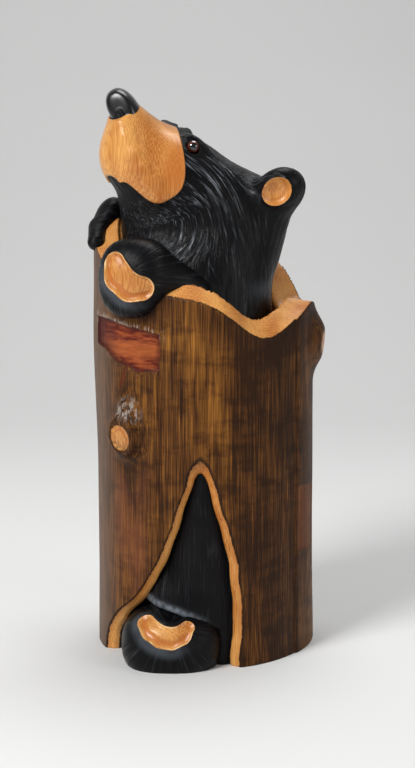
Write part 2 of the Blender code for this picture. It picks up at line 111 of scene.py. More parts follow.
def turned(a, b):
    """Axes turned about the third one, with the first along (a, b)."""
    return np.array([normal((a, b, 0)), normal((-b, a, 0)), (0, 0, 1)])


def length(v):
    return np.linalg.norm(v, axis=1)


def blend(a, b, reach):
    """Union of two shapes with a soft hollow between them."""
    h = np.maximum(reach - np.abs(a - b), 0.0) / reach
    return np.minimum(a, b) - h * h * reach * 0.25


def trim(a, b, reach):
    """What two shapes share, with the edge between them rounded."""
    return -blend(-a, -b, reach)


def fade(x, low, high):
    t = np.clip((x - low) / (high - low), 0, 1)
    return t * t * (3 - 2 * t)


def between(x, start, full, still, end):
    """0 outside start and end, 1 from full to still."""
    return fade(x, start, full) * (1 - fade(x, still, end))


def bell(x, middle, width):
    """1 in the middle, falling off to 0 on both sides."""
    return np.exp(-((x - middle) / width) ** 2)


def egg(p, centre, radii, axes=None):
    q = p - centre
    if axes is not None:
        q = q @ axes.T
    k0 = length(q / radii)
    k1 = length(q / (radii * radii)) + 1e-9
    return k0 * (k0 - 1.0) / k1


def pebble(p, centre, radii, power):
    """An egg with flatter sides and fuller corners."""
    v = np.abs((p - centre) / radii)
    rho = (v ** power).sum(axis=1) ** (1 / power)
    return (rho - 1) * min(radii)


def limb(p, start, end, start_radius, end_radius):
    run = end - start
    t = np.clip((p - start) @ run / (run @ run), 0, 1)
    return length(p - start - t[:, None] * run) - (start_radius + (end_radius - start_radius) * t)


def chain(p, places, radii, reach):
    """Limbs from place to place, blended into one long shape."""
    total = None
    for start, end, r0, r1 in zip(places, places[1:], radii, radii[1:]):
        part = limb(p, start, end, r0, r1)
        total = part if total is None else blend(total, part, reach)
    return total


def eased(stations, values, soft, period=None):
    """Values at stations along a length, as a fine curve with its corners eased."""
    if period:
        fine = np.linspace(-period / 2, period / 2, 721)
    else:
        fine = np.linspace(stations[0] - soft, stations[-1] + soft, 400)
    shifts = (-soft, -soft / 2, 0, soft / 2, soft)
    moved = (np.interp(fine + shift, stations, values, period=period) for shift in shifts)
    return fine, sum(moved) / len(shifts)


def eased_round(degrees, values):
    """Values round the log, as a fine closed curve."""
    return eased(np.radians(degrees), values, math.radians(7), 2 * np.pi)


def along(x, curve):
    return np.interp(x, *curve)


def at_angle(degrees, radius, height):
    """A point round the log, with 0 degrees at the viewer's side and 90 at +X."""
    a = math.radians(degrees)
    return np.array([radius * math.sin(a), -radius * math.cos(a), height])


# %% [markdown]
# ## Uneven surfaces
# Hand tools leave nothing quite even. One small table of random heights with a fixed seed, read with smooth
# steps between its entries, gives every uneven surface here.
# %% Noise for carving
LATTICE_SIZE = 24
LATTICE = np.random.default_rng(11).uniform(-1, 1, (LATTICE_SIZE,) * 3)


def soft_noise(points, size, shift=0.0):
    """Smooth noise between -1 and 1. Size is that of its lumps, one number or one for each axis."""
    q = points / np.asarray(size, float) + shift
    cell = np.floor(q).astype(int)
    f = q - cell
    f = f * f * (3 - 2 * f)
    total = np.zeros(len(points))
    for corner in itertools.product((0, 1), repeat=3):
        i, j, k = ((cell + np.array(corner)) % LATTICE_SIZE).T
        total += np.prod(np.where(corner, f, 1 - f), axis=1) * LATTICE[i, j, k]
    return total


def grooves(points, size, shift=0.0):
    """Thin valleys in soft ground: 0 on the ridges, 1 in the middle of a valley."""
    return np.clip(1 - np.abs(soft_noise(points, size, shift)) * 3.0, 0, 1)


# %% [markdown]
# ## From a rough block to a carved one
# Balls and a turned cup make the blank. The Remesh modifier wraps them in one skin of even faces, and every
# point then slides along the slope of the distance function until it lies on the surface.
# %% Blank, skin and carving


def get_points(mesh, what="co"):
    values = np.empty(len(mesh.vertices) * 3)
    mesh.vertices.foreach_get(what, values)
    return values.reshape(-1, 3)


def set_points(mesh, points):
    mesh.vertices.foreach_set("co", points.ravel())
    mesh.update()


def raise_points(mesh, height):
    """Move every point by its own height, square to the surface."""
    set_points(mesh, get_points(mesh) + get_points(mesh, "normal") * height[:, None])


@contextlib.contextmanager
def editing(mesh):
    """Open a mesh for bmesh operators, and write it back after them."""
    bm = bmesh.new()
    bm.from_mesh(mesh)
    yield bm
    bm.to_mesh(mesh)
    bm.free()


def add_ball(bm, centre, radii, axes=((1, 0, 0), (0, 1, 0), (0, 0, 1))):
    turn = Matrix(np.asarray(axes, float).T.tolist()).to_4x4()
    place = Matrix.Translation(Vector(centre)) @ turn @ Matrix.Diagonal((*radii, 1))
    bmesh.ops.create_icosphere(bm, subdivisions=3, radius=1.0, matrix=place)


def ball_blank(name, *balls):
    """A rough block of balls: a centre, radii and sometimes axes for each."""
    bm = bmesh.new()
    for ball in balls:
        add_ball(bm, *ball)
    return to_mesh(bm, name)


def to_mesh(bm, name):
    mesh = bpy.data.meshes.new(name)
    bm.to_mesh(mesh)
    bm.free()
    return mesh


def reskinned(mesh, voxel):
    """The mesh's outer skin, rebuilt with even faces."""
    holder = new_object("skin", mesh)
    remesh = holder.modifiers.new("Remesh", "REMESH")
    remesh.mode = "VOXEL"
    remesh.voxel_size = voxel
    skin = bpy.data.meshes.new_from_object(holder.evaluated_get(bpy.context.evaluated_depsgraph_get()))
    bpy.data.objects.remove(holder)
    return skin


def slope_at(shape, points, nudge=0.1 * MM):
    """Which way a shape's distance grows fastest, at each point."""
    distance = shape(points)
    slope = np.column_stack([(shape(points + shift) - distance) / nudge for shift in np.eye(3) * nudge])
    return distance, slope


def carve(mesh, shape, passes, longest_step):
    """Move every point along the shape's slope until it lies on its surface."""
    points = get_points(mesh)
    for _ in range(passes):
        distance, slope = slope_at(shape, points)
        steepness = np.maximum(length(slope), 0.25)
        step = np.clip(distance / steepness, -longest_step, longest_step)
        points -= slope / steepness[:, None] * step[:, None]
    set_points(mesh, points)


def even_out(mesh, rounds):
    """Relax the points between their neighbours, so that edges run evenly."""
    every_way = {"use_axis_x": True, "use_axis_y": True, "use_axis_z": True}
    with editing(mesh) as bm:
        for _ in range(rounds):
            bmesh.ops.smooth_vert(bm, verts=bm.verts, factor=0.5, **every_way)


def carved_piece(blank, shape, voxels, last_passes=2):
    """Carve a blank to a shape on finer and finer skins."""
    mesh = blank
    for voxel in voxels:
        mesh = reskinned(mesh, voxel)
        carve(mesh, shape, 3, 2.5 * voxel)
    even_out(mesh, 1)
    carve(mesh, shape, last_passes, voxels[-1])
    return mesh


def sawn_level(mesh):
    """Saw a piece off at the ground and close the cut."""
    with editing(mesh) as bm:
        everything = bm.verts[:] + bm.edges[:] + bm.faces[:]
        cut = bmesh.ops.bisect_plane(bm, geom=everything, dist=1e-6, plane_co=(0, 0, 0), plane_no=(0, 0, 1),
                                     clear_inner=True)
        rim = [item for item in cut["geom_cut"] if isinstance(item, bmesh.types.BMEdge)]
        bmesh.ops.holes_fill(bm, edges=rim, sides=0)
        bmesh.ops.recalc_face_normals(bm, faces=bm.faces)


# Distances in millimetres for a paint edge, a pad or an ear disc that a piece doesn't have.
NOT_HERE = -10
NO_DISC = 40


def keep(mesh, name, values):
    """Store a value or a vector for each point, or one value for all, for the materials to read."""
    values = np.asarray(values, dtype=np.float32)
    if values.ndim == 0:
        values = np.full(len(mesh.vertices), values)
    kind, field = ("FLOAT_VECTOR", "vector") if values.ndim == 2 else ("FLOAT", "value")
    mesh.attributes.new(name, kind, "POINT").data.foreach_set(field, np.ascontiguousarray(values).ravel())


def show_piece(name, mesh, material, nodes):
    """Make the finished piece's object, riding on the part's one body."""
    mesh.name = name
    mesh.shade_smooth()
    mesh.materials.clear()
    mesh.materials.append(material)
    piece = new_object(name, mesh)
    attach(piece, "root")
    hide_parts(*nodes)
    faces = sum(len(face.vertices) - 2 for face in mesh.polygons)
    print(name, "has", faces, "triangles")


# %% [markdown]
# ## The log's shape
# The log is a tube with a slanting top, a wide bevel round the rim and an arched opening cut through the
# bark. Each of them is a curve read round the log or up the log.
# %% Sizes of the log
LOG_RADIUS = 79 * MM
LOG_HEIGHT = 255 * MM
BUTT_SPREAD = 1.2 * MM
WALL_THICKNESS = 14 * MM
HOLLOW_DEPTH = 24 * MM
GROOVE_DEPTH = 5 * MM
PLANED_DEPTH = 1.2 * MM
RIM_ROUNDING = 0.9 * MM
OPENING_HEIGHT = 150 * MM
BEVEL_WIDTH = 5.0 * MM
BEVEL_DEPTH = 5.0 * MM
NICHE_DEPTH = 17 * MM
SPARE_FOOT = 6 * MM

RIM_DEGREES = (-170, -140, -115, -92, -72, -50, -22, 0, 14, 28, 42, 58, 72, 84, 96, 112, 121, 128, 138, 150,
               170)
RIM_RISE = mm(43, 56, 59, 51, 31, 12, 4, -1, -12, -28, -23, -12, -4.5, -2, -8, -9, -1, 19, 25, 32, 37)
BEVEL_RISE = mm(0, 2, 5, 6, 6, 9, 12, 14, 14, 15, 15, 10, 5, 2, -1, -4, -9, -14, -15, -12, -5)
WALL_SHARES = np.array((1, 1, 1.1, 1.15, 1.1, 1, 0.85, 0.85, 0.85, 0.9, 1, 1.2, 1.45, 1.5, 1.5, 1.5, 1.5, 1.5,
                        1.4, 1.2, 1))
RIM_CURVE = eased_round(RIM_DEGREES, RIM_RISE)
BEVEL_CURVE = eased_round(RIM_DEGREES, BEVEL_RISE)
WALL_CURVE = eased_round(RIM_DEGREES, WALL_SHARES * WALL_THICKNESS)
PLANED_FROM, PLANED_TO = -24, 55
HOLLOW_SHARES = np.array((0.6, 0, 0, 0, 0, 0, 0, 0, 0, 0.1, 0.6, 1, 1, 1, 1, 1, 1, 1, 1, 1, 0.9))
GROOVE_FLOOR = (RIM_RISE + BEVEL_RISE - GROOVE_DEPTH) * (1 - HOLLOW_SHARES) - HOLLOW_DEPTH * HOLLOW_SHARES
FLOOR_CURVE = eased_round(RIM_DEGREES, GROOVE_FLOOR)

OPENING_SHARES = np.array((-0.03, 0, 0.13, 0.22, 0.30, 0.40, 0.50, 0.67, 0.83, 0.93, 0.985, 1.01))
OPENING_LEFT, OPENING_RIGHT = (eased(OPENING_SHARES, np.radians(degrees), 0.027) for degrees in (
    (-66, -66, -62, -53, -41, -32, -26, -18, -12, -9, -6, -3.5),
    (18, 18, 19, 19.5, 19.3, 18.5, 17, 12, 6.5, 3, 0, -2)))
BARK_CURVE = eased((0, 0.2 * LOG_HEIGHT, LOG_HEIGHT),
                   (LOG_RADIUS + BUTT_SPREAD, LOG_RADIUS + 0.3 * BUTT_SPREAD, LOG_RADIUS - 0.4 * BUTT_SPREAD),
                   0.05 * LOG_HEIGHT)

# %% Distance to the bark, and into the opening
SWELL, SWELL_DEGREES, SWELL_SPREAD = 3.2, -95, 38


def bark_radius(angle, z):
    degrees = np.degrees(angle)
    planed = between(degrees, PLANED_FROM - 1.3, PLANED_FROM + 1.3, PLANED_TO - 1.3, PLANED_TO + 1.3)
    waves = 0.5 * np.sin(3 * angle + 1) + 0.4 * np.sin(5 * angle + 5 * z / LOG_HEIGHT)
    waves += SWELL * bell(degrees, SWELL_DEGREES, SWELL_SPREAD) * fade(z, 0.5 * LOG_HEIGHT, 0.95 * LOG_HEIGHT)
    return along(z, BARK_CURVE) - PLANED_DEPTH * planed + waves * MM


def across_to(side, angle, share):
    """Distance on the bark to one side of the opening's outline, square to that side."""
    gap = (angle - along(share, side)) * LOG_RADIUS
    lean = (along(share + 0.02, side) - along(share - 0.02, side)) / (0.04 * OPENING_HEIGHT) * LOG_RADIUS
    return gap / np.sqrt(1 + lean * lean)


def opening_inset(angle, z):
    """How far a point of the bark lies inside the opening's outline, measured on the bark."""
    share = z / OPENING_HEIGHT
    angle = angle + 0.008 * np.sin(z / (5.5 * MM)) * np.sin(z / (17 * MM) + 1)
    narrow = 1 + 0.4 * between(share, 0.12, 0.3, 0.8, 0.95)
    from_left = narrow * across_to(OPENING_LEFT, angle, share)
    sides = blend(from_left, -across_to(OPENING_RIGHT, angle, share), 2 * MM)
    return blend(sides, (OPENING_HEIGHT - z) * 0.5, 4 * MM)


def knot_stub(p, degrees, height, reach, radius, beyond):
    tip = at_angle(degrees, LOG_RADIUS + reach + beyond * radius, height)
    return limb(p, at_angle(degrees, 0.5 * LOG_RADIUS, height), tip, radius * 1.3, radius)


def saw_plane(p, degrees, height, reach, cut_degrees):
    return (p - at_angle(degrees, LOG_RADIUS + reach, height)) @ normal(at_angle(cut_degrees, 1, -0.12))


NEAR_KNOT = (-44, 162 * MM, 8 * MM)
NEAR_KNOT_RADIUS = 12.5 * MM
NEAR_KNOT_BEYOND = 1
NEAR_KNOT_CUT = -46
SIDE_KNOT = (90, LOG_HEIGHT - 31.5 * MM, 6.5 * MM)
SIDE_KNOT_RADIUS = 18.5 * MM
SIDE_KNOT_BEYOND = -0.86
SIDE_KNOT_CUT = 77
KNOT_FACE = 10 * MM
KNOT_MIDDLE = at_angle(-46, 84 * MM, 166 * MM)
COLLAR_PLACE = at_angle(-43, LOG_RADIUS - 3 * MM, 178 * MM)


def from_knot(p):
    """Distance from the near knot's middle line; far from it on the log's other side."""
    line = at_angle(NEAR_KNOT[0], 1, 0)
    offset = p - at_angle(NEAR_KNOT[0], LOG_RADIUS, NEAR_KNOT[1] - 1 * MM)
    offset -= (offset @ line)[:, None] * line
    return np.where(p[:, 0] < 0, length(offset * (1, 1, 1.05)), 60 * MM)


def round_log(p):
    return np.arctan2(p[:, 0], -p[:, 1]), np.hypot(p[:, 0], p[:, 1]), p[:, 2]


def bark(p, sawn=False):
    """Distance to the log's outside with its branch stubs, sawn off or whole."""
    angle, radius, z = round_log(p)
    wall = radius - bark_radius(angle, z)
    near_knot = knot_stub(p, *NEAR_KNOT, NEAR_KNOT_RADIUS, NEAR_KNOT_BEYOND)
    side_knot = knot_stub(p, *SIDE_KNOT, SIDE_KNOT_RADIUS, SIDE_KNOT_BEYOND)
    if sawn:
        near_knot = trim(near_knot, saw_plane(p, *NEAR_KNOT, NEAR_KNOT_CUT), 3 * MM)
        side_knot = trim(side_knot, saw_plane(p, *SIDE_KNOT, SIDE_KNOT_CUT), 1.5 * MM)
    collar = egg(p, COLLAR_PLACE, mm(10, 8, 10))
    wall = blend(wall, blend(near_knot, collar, 6 * MM), 10 * MM)
    return blend(wall, side_knot, 14 * MM)


def log_form(p):
    angle, radius, z = round_log(p)
    inset = opening_inset(angle, z)
    opening = BEVEL_DEPTH * np.clip(inset / BEVEL_WIDTH, 0, 1)
    opening += (NICHE_DEPTH - BEVEL_DEPTH) * fade(inset, BEVEL_WIDTH - 0.3 * MM, BEVEL_WIDTH + 3 * MM)
    wall = bark(p, sawn=True) + opening
    thickness = along(angle, WALL_CURVE)
    inward = np.clip((LOG_RADIUS - radius) / thickness, 0, 1)
    top = z - LOG_HEIGHT - along(angle, RIM_CURVE) - along(angle, BEVEL_CURVE) * inward
    timber = trim(wall, top, RIM_ROUNDING)
    hollow = trim(radius - LOG_RADIUS + thickness, LOG_HEIGHT + along(angle, FLOOR_CURVE) - z, 4 * MM)
    return trim(timber, -hollow, 1.5 * MM)


# %% [markdown]
# ## Relief on the bark side
# The bark side was scraped, not turned: a red patch with torn edges, a leaf-shaped nick, a wrinkled collar
# over the branch stub, a second patch low on the right and a planed front. All are small moves of points.
# %% Relief of the log


def box_inset(angle, z, left, right, low, high):
    """How far a point lies inside a patch given by its sides in degrees and its heights at both sides."""
    share = (np.degrees(angle) - left) / (right - left)
    bottom = low[0] + (low[1] - low[0]) * share
    top = high[0] + (high[1] - high[0]) * share
    sides = np.minimum(angle - math.radians(left), math.radians(right) - angle) * LOG_RADIUS
    return np.minimum(sides, np.minimum(z - bottom, top - z))


PATCH_FOOT = eased(np.radians((-73, -61, -48, -35, -23)), mm(224, 219, 212, 207, 209), 0.05)


def red_patch(p):
    angle, radius, z = round_log(p)
    ragged = 1.3 * MM * soft_noise(p, mm(7, 7, 12)) + 0.5 * MM * soft_noise(p, mm(2.2, 2.2, 6), 3.3)
    low = along(angle, PATCH_FOOT)
    return np.minimum(box_inset(angle, z, -73, -23.5, mm(190, 190), mm(244, 235)), z - low) + ragged


def low_patch(p):
    angle, radius, z = round_log(p)
    ragged = 0.8 * MM * soft_noise(p, mm(9, 9, 6))
    return box_inset(angle, z, 56, 79, mm(76, 74), mm(123, 120)) + ragged


def leaf_nick(p):
    angle, radius, z = round_log(p)
    across = (angle - np.radians(-47.5 + 0.35 * (z / MM - 203))) * LOG_RADIUS
    taper = np.clip(1 - ((z / MM - 203) / 10.5) ** 2, 0, 1)
    return 2.6 * MM * taper - np.abs(across)


def log_relief(p):
    angle, radius, z = round_log(p)
    degrees = np.degrees(angle)
    height = 0.30 * soft_noise(p, mm(26, 26, 70)) + 0.10 * soft_noise(p, mm(6, 6, 34), 5.1)
    patch = red_patch(p)
    inside = fade(patch, 0, 0.9 * MM)
    lip = fade(patch, -3.5 * MM, -0.2 * MM) * (1 - inside)
    scratch = grooves(p, mm(3.0, 3.0, 26), 8.2) * (1 - fade(degrees, -66, -52))
    cracks = grooves(p, mm(40, 40, 6.0), 2.4) * fade(degrees, -68, -60)
    height += lip * 0.45 - inside * (1.15 + 0.5 * scratch + 0.45 * cracks)
    height -= 0.9 * fade(leaf_nick(p), 0, 2.4 * MM)
    height -= 0.55 * fade(low_patch(p), -0.3 * MM, 1.2 * MM)
    collar = length(p - COLLAR_PLACE)
    wrinkle = 1 - fade(collar, 9 * MM, 17 * MM)
    height -= wrinkle * 1.0 * grooves(p, mm(5.5, 5.5, 9), 1.7)
    for edge, depth in ((PLANED_FROM, 0.35), (12, 0.12), (PLANED_TO, 0.25)):
        height -= depth * bell(degrees, edge, 0.8)
    return height * MM


# %% Carve the log
LOG_VOXELS = mm(4, 1.75)
LOG_FINE_EDGE = 1.3 * MM


def log_blank():
    """The log as a turned cup: up the bark, over the rim and down to the hollow's floor."""
    inner = LOG_RADIUS - WALL_THICKNESS
    corners = ((0, -SPARE_FOOT), (LOG_RADIUS, -SPARE_FOOT), (LOG_RADIUS, LOG_HEIGHT), (inner, LOG_HEIGHT),
               (inner, LOG_HEIGHT - HOLLOW_DEPTH), (0, LOG_HEIGHT - HOLLOW_DEPTH))
    bm = bmesh.new()
    outline = [bm.verts.new((0, -radius, height)) for radius, height in corners]
    edges = [bm.edges.new(pair) for pair in zip(outline, outline[1:])]
    bmesh.ops.spin(bm, geom=outline + edges, cent=(0, 0, 0), axis=(0, 0, 1), angle=2 * math.pi, steps=96,
                   use_merge=True)
    bmesh.ops.remove_doubles(bm, verts=bm.verts, dist=1e-6)
    for vert in bm.verts:
        angle = math.atan2(vert.co.x, -vert.co.y)
        outer = math.hypot(vert.co.x, vert.co.y) > LOG_RADIUS - 1e-4
        if vert.co.z > LOG_HEIGHT - 1e-4:
            vert.co.z += along(angle, RIM_CURVE) + (0 if outer else along(angle, BEVEL_CURVE))
        elif vert.co.z > LOG_HEIGHT - HOLLOW_DEPTH - 1e-4 and not outer:
            vert.co.z = LOG_HEIGHT + along(angle, FLOOR_CURVE)
    bmesh.ops.recalc_face_normals(bm, faces=bm.faces)
    return to_mesh(bm, "log blank")


def refined(mesh, wanted, longest):
    """Cut the longer edges in two where finer faces are wanted."""
    with editing(mesh) as bm:
        edges = [edge for edge in bm.edges
                 if all(wanted[vert.index] for vert in edge.verts) and edge.calc_length() > longest]
        bmesh.ops.subdivide_edges(bm, edges=edges, cuts=1, use_grid_fill=True)
        bmesh.ops.triangulate(bm, faces=[face for face in bm.faces if len(face.verts) > 4])


def log_edges(p):
    """Where the log needs finer faces: along the rim, the opening and the knots, and on the red patch."""
    angle, radius, z = round_log(p)
    inset = opening_inset(angle, z)
    at_opening = (inset > -3 * MM) & (inset < 9 * MM) & (radius > 55 * MM)
    top = z - LOG_HEIGHT - along(angle, RIM_CURVE)
    at_rim = (top > -6 * MM) & (radius > 44 * MM)
    near_knot = saw_plane(p, *NEAR_KNOT, NEAR_KNOT_CUT) > -9 * MM
    near_knot &= length(p - KNOT_MIDDLE) < 24 * MM
    at_patch = np.abs(red_patch(p)) < 3 * MM
    return at_opening | at_rim | near_knot | at_patch


log_mesh = carved_piece(log_blank(), log_form, LOG_VOXELS)
refined(log_mesh, log_edges(get_points(log_mesh)), LOG_FINE_EDGE)
carve(log_mesh, log_form, 3, 1 * MM)
points = get_points(log_mesh)
bare_depth = -bark(points)
by_knot = length(points - KNOT_MIDDLE) < 22 * MM
in_face = KNOT_FACE - from_knot(points)
sawn_depth = np.where(by_knot, np.minimum(bare_depth, in_face + 0.5 * MM), bare_depth)
keep(log_mesh, "bare_depth", sawn_depth / MM)
cut_here = fade(bare_depth, 0.2 * MM, 0.9 * MM)
relief = log_relief(points) * (1 - cut_here) - 1.1 * MM * fade(in_face, 0, 1 * MM) * cut_here
raise_points(log_mesh, relief)
sawn_level(log_mesh)
print("log:", len(log_mesh.polygons), "faces")

# %% Values on the log for its material


def soft_spot(angle, z, degrees, height, wide, tall):
    """1 at a place on the bark, falling off to 0 round it."""
    across = (np.degrees(angle) - degrees) / wide
    up = (z / MM - height) / tall
    return np.exp(-across * across - up * up)


points = get_points(log_mesh)
angle, radius, z = round_log(points)
degrees = np.degrees(angle)
keep(log_mesh, "inset", np.where(radius > 50 * MM, opening_inset(angle, z), -1) / MM)
keep(log_mesh, "collar", 15 - length(points - COLLAR_PLACE) / MM)
for name, distance in (("red", red_patch), ("low_red", low_patch), ("nick", leaf_nick), ("knot", from_knot)):
    keep(log_mesh, name, distance(points) / MM)
tone = 0.36 * soft_spot(angle, z, -6, 215, 16, 50) + 0.25 * soft_spot(angle, z, 0, 120, 14, 70)
tone -= 0.5 * fade(z - along(angle, RIM_CURVE), 228 * MM, 250 * MM)
tone -= 0.35 * between(degrees, 10, 14, 50, 60)
tone += 0.30 * soft_spot(angle, z, -40, 60, 18, 35) - 0.35 * soft_spot(angle, z, -35, 130, 14, 18)
keep(log_mesh, "tone", tone)
# Grey on the log's left side: partly weathered bark, partly a painted sheen.
keep(log_mesh, "weathered_and_sheen", between(-degrees, 46, 74, 110, 140))
keep(log_mesh, "blotched", fade(-degrees, 26, 36) * (1 - fade(z, 130 * MM, 150 * MM)))

# %% [markdown]
# ## The leg in the opening
# The leg is one smooth surface seen from one side only, so a grid is bent to it: each of its points gets a
# place round the log, a height and a depth. Solidify then gives it a back.
# %% Leg


def hem_height(angle):
    """Height of the leg's lower edge, which falls from left to right."""
    return np.interp(np.degrees(angle), (-60, -38, -17, 0, 14), mm(48, 45, 39, 31, 24))


def leg_depth(angle, z):
    """How far the leg lies behind the bark."""
    degrees = np.degrees(angle)
    middle = np.interp(z, mm(0, 40, 70, 110, 150), (-16, -14, -5, -1.5, -2.5))
    spread = np.interp(z, mm(0, 40, 70, 110, 150), (34, 28, 17, 11, 6))
    column = np.exp(-np.abs((degrees - middle) / spread) ** 2.4)
    depth = 13.5 - 9 * column * np.interp(z, mm(0, 100, 130, 150), (1, 1, 0.75, 0.5))
    flare = fade(-(z - hem_height(angle)), -26 * MM, 0) * (1 - fade(degrees, -6, 16))
    below = fade(hem_height(angle) - z, 0, 2.2 * MM) * (1 - fade(degrees, -4, 12))
    return (depth - 4.0 * flare * column + 9 * below) * MM


LEG_LEFT, LEG_SPAN, LEG_TOP = -70, 96, 152 * MM
LEG_ACROSS, LEG_UP = ((150, 240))
bm = bmesh.new()
bmesh.ops.create_grid(bm, x_segments=LEG_ACROSS, y_segments=LEG_UP, size=0.5)
leg_mesh = to_mesh(bm, "leg")
flat = get_points(leg_mesh)
angle = np.radians(LEG_LEFT + LEG_SPAN * (flat[:, 0] + 0.5))
z = LEG_TOP * (flat[:, 1] + 0.5)
radius = bark_radius(angle, z) - leg_depth(angle, z)
set_points(leg_mesh, np.column_stack((radius * np.sin(angle), -radius * np.cos(angle), z)))
keep(leg_mesh, "strand", np.column_stack((angle * LOG_RADIUS, 0 * z, z)))
with editing(leg_mesh) as bm:
    bmesh.ops.recalc_face_normals(bm, faces=bm.faces)
    bmesh.ops.solidify(bm, geom=bm.faces, thickness=3 * MM)
sawn_level(leg_mesh)
print("leg:", len(leg_mesh.polygons), "faces")

# %% [markdown]
# ## The foot and the two front paws
# The foot and the near paw are soft pebbles. Their pads are shallow dishes of bare wood with a crisp edge,
# cut by a chain of soft limbs. The far paw only shows its back and its toes.
# %% Foot
PAW_VOXELS = mm(3, 1.2, 0.75)
FOOT_CENTRE = mm(-24, -60, 14)
FOOT_PAD = mm((-42.5, -79, 35), (-38, -86, 30.5), (-31, -90, 27), (-24, -91, 26), (-17, -89.5, 28),
              (-12.5, -85, 32.5))
FOOT_PAD_RADII = mm(6.5, 7.0, 7.5, 7.5, 6.5, 5.0)


def foot_pad(p):
    return chain(p, FOOT_PAD, FOOT_PAD_RADII, 3 * MM)


def foot_form(p):
    whole = pebble(p, FOOT_CENTRE, mm(36, 32, 27), 2.4)
    toe_step = egg(p, mm(-24, -77, 44), mm(13, 10, 9))
    whole = trim(whole, -toe_step, 3 * MM)
    return whole + 1.3 * MM * fade(-foot_pad(p), -0.2 * MM, 1.6 * MM)


foot_mesh = carved_piece(ball_blank("foot blank", (FOOT_CENTRE, mm(35, 31, 26))), foot_form, PAW_VOXELS)

# %% Near paw
PAW_CENTRE = mm(-51, -63.5, 272)
PAW_AXES = np.array([normal((0.96, -0.26, 0)), (0, 0, 1), normal((-0.26, -0.96, 0))])
PAW_PAD = mm((-62, -76, 283.5), (-59.5, -78, 275), (-52, -81, 267.5), (-43, -81.5, 266.5))
PAW_PAD_RADII = mm(8.0, 10.0, 9.5, 8.5)


def paw_pad(p):
    return chain(p, PAW_PAD, PAW_PAD_RADII, 4 * MM)


def near_paw_form(p):
    paw = pebble((p - PAW_CENTRE) @ PAW_AXES.T, 0, mm(22.5, 27.5, 17), 2.3)
    arm = limb(p, mm(-8, -50, 262), mm(-38, -60, 278), 12 * MM, 17 * MM)
    paw = blend(paw, arm, 12 * MM)
    return paw + 1.8 * MM * fade(-paw_pad(p), -0.2 * MM, 2.2 * MM)


near_blank = ball_blank("near paw blank", (PAW_CENTRE, mm(22, 27, 17), PAW_AXES),
                        (mm(-24, -55, 270), mm(26, 15, 16)))
near_paw_mesh = carved_piece(near_blank, near_paw_form, PAW_VOXELS)

# %% Far paw
FAR_PAW_CENTRE = mm(-74.5, 14, 306)
FAR_PAW_AXES = np.array([normal((0.91, 0, -0.42)), (0, 1, 0), normal((0.42, 0, 0.91))])


def far_paw_form(p):
    paw = egg(p, FAR_PAW_CENTRE, mm(9, 17, 20), FAR_PAW_AXES)
    arm = limb(p, mm(-40, 24, 300), mm(-66, 16, 314), 13 * MM, 10 * MM)
    toes = limb(p, mm(-78, 2, 304), mm(-78.5, -13, 294.5), 7 * MM, 6.3 * MM)
    return blend(blend(paw, arm, 8 * MM), toes, 5 * MM)


far_blank = ball_blank("far paw blank", (mm(-77, -5, 295), mm(6, 12, 9)),
                       (FAR_PAW_CENTRE, mm(10, 17, 20), FAR_PAW_AXES), (mm(-53, 20, 307), mm(20, 12, 12)))
far_paw_mesh = carved_piece(far_blank, far_paw_form, PAW_VOXELS[:2])

# %% [markdown]
# ## The head
# The head is measured along its own axes: forward along the snout, up to the crown, out to the far side.
# The bare muzzle stands a little proud of the black fur, as if the fur had been cut back round it.
# %% Head sizes
HEAD_CENTRE = mm(9, 0, 327.5)
SNOUT_LINE = normal((-0.42, -0.29, 0.86))
FAR_SIDE = normal(np.cross(SNOUT_LINE, (0.90, 0, 0.44)))
HEAD_AXES = np.array([SNOUT_LINE, np.cross(FAR_SIDE, SNOUT_LINE), FAR_SIDE])
BROW_AXES = turned(0.92, -0.39)
EAR_AXES = np.array([normal((1, 0, -0.25)), (0, 1, 0), normal((0.25, 0, 1))])

NECK_RISE = mm(-75, -40, -12, 7, 31, 45, 57, 70, 85)
NECK_LEFT = mm(-58, -58, -60, -61, -61, -61, -60.5, -58, -48)
NECK_RIGHT = mm(48, 47, 47.5, 48, 49, 49.5, 52, 54.5, 48)
NECK_DEPTH = mm(60, 62, 60, 55, 50, 45, 38, 32, 26)
NECK_CURVES = [eased(NECK_RISE, values, 8 * MM) for values in (NECK_LEFT, NECK_RIGHT, NECK_DEPTH)]
NECK_TOP = 90 * MM

SNOUT_STATIONS = mm(12, 20, 30, 40, 52, 62, 72, 80, 88, 94)
SNOUT_TOP = mm(8, 6, 3, -1, -7, -13, -18, -21.5, -25, -28)
SNOUT_UNDER = mm(-54, -57, -61, -64, -66, -64, -58.5, -50, -43, -39)
SNOUT_HALF = mm(37, 37, 36, 34, 30, 26, 21.5, 17.5, 13.5, 10)
SNOUT_WIDEST = mm(-32, -34, -37, -39.5, -41, -41, -40, -38, -36, -35)
SNOUT_CURVES = [eased(SNOUT_STATIONS, values, 4 * MM)
                for values in (SNOUT_TOP, SNOUT_UNDER, SNOUT_HALF, SNOUT_WIDEST)]
MUZZLE_HEIGHTS = mm(-72, -65, -60, -56, -52.5, -50, -47.5, -43.5, -39, -31, -23, -18, -14, -10.5, -7.5, -5.5,
                    -2)
MUZZLE_REACH = mm(44, 44, 46, 48, 47, 41, 33, 28, 25.5, 25, 26.5, 30, 35, 42, 50, 57, 70)
MUZZLE_EDGE = eased(MUZZLE_HEIGHTS, MUZZLE_REACH, 3 * MM)
MUZZLE_STEP = 1.2 * MM
CREST = mm((79, -38, -13), (72, -39, -18), (61, -39.5, -23.5), (50, -38.5, -28), (39, -37, -31.5),
           (29, -37, -33.5))
CREST_RADIUS = 3.2 * MM

# %% Head form


def to_head(p):
    return (p - HEAD_CENTRE) @ HEAD_AXES.T


def from_head(q):
    return HEAD_CENTRE + np.asarray(q) @ HEAD_AXES


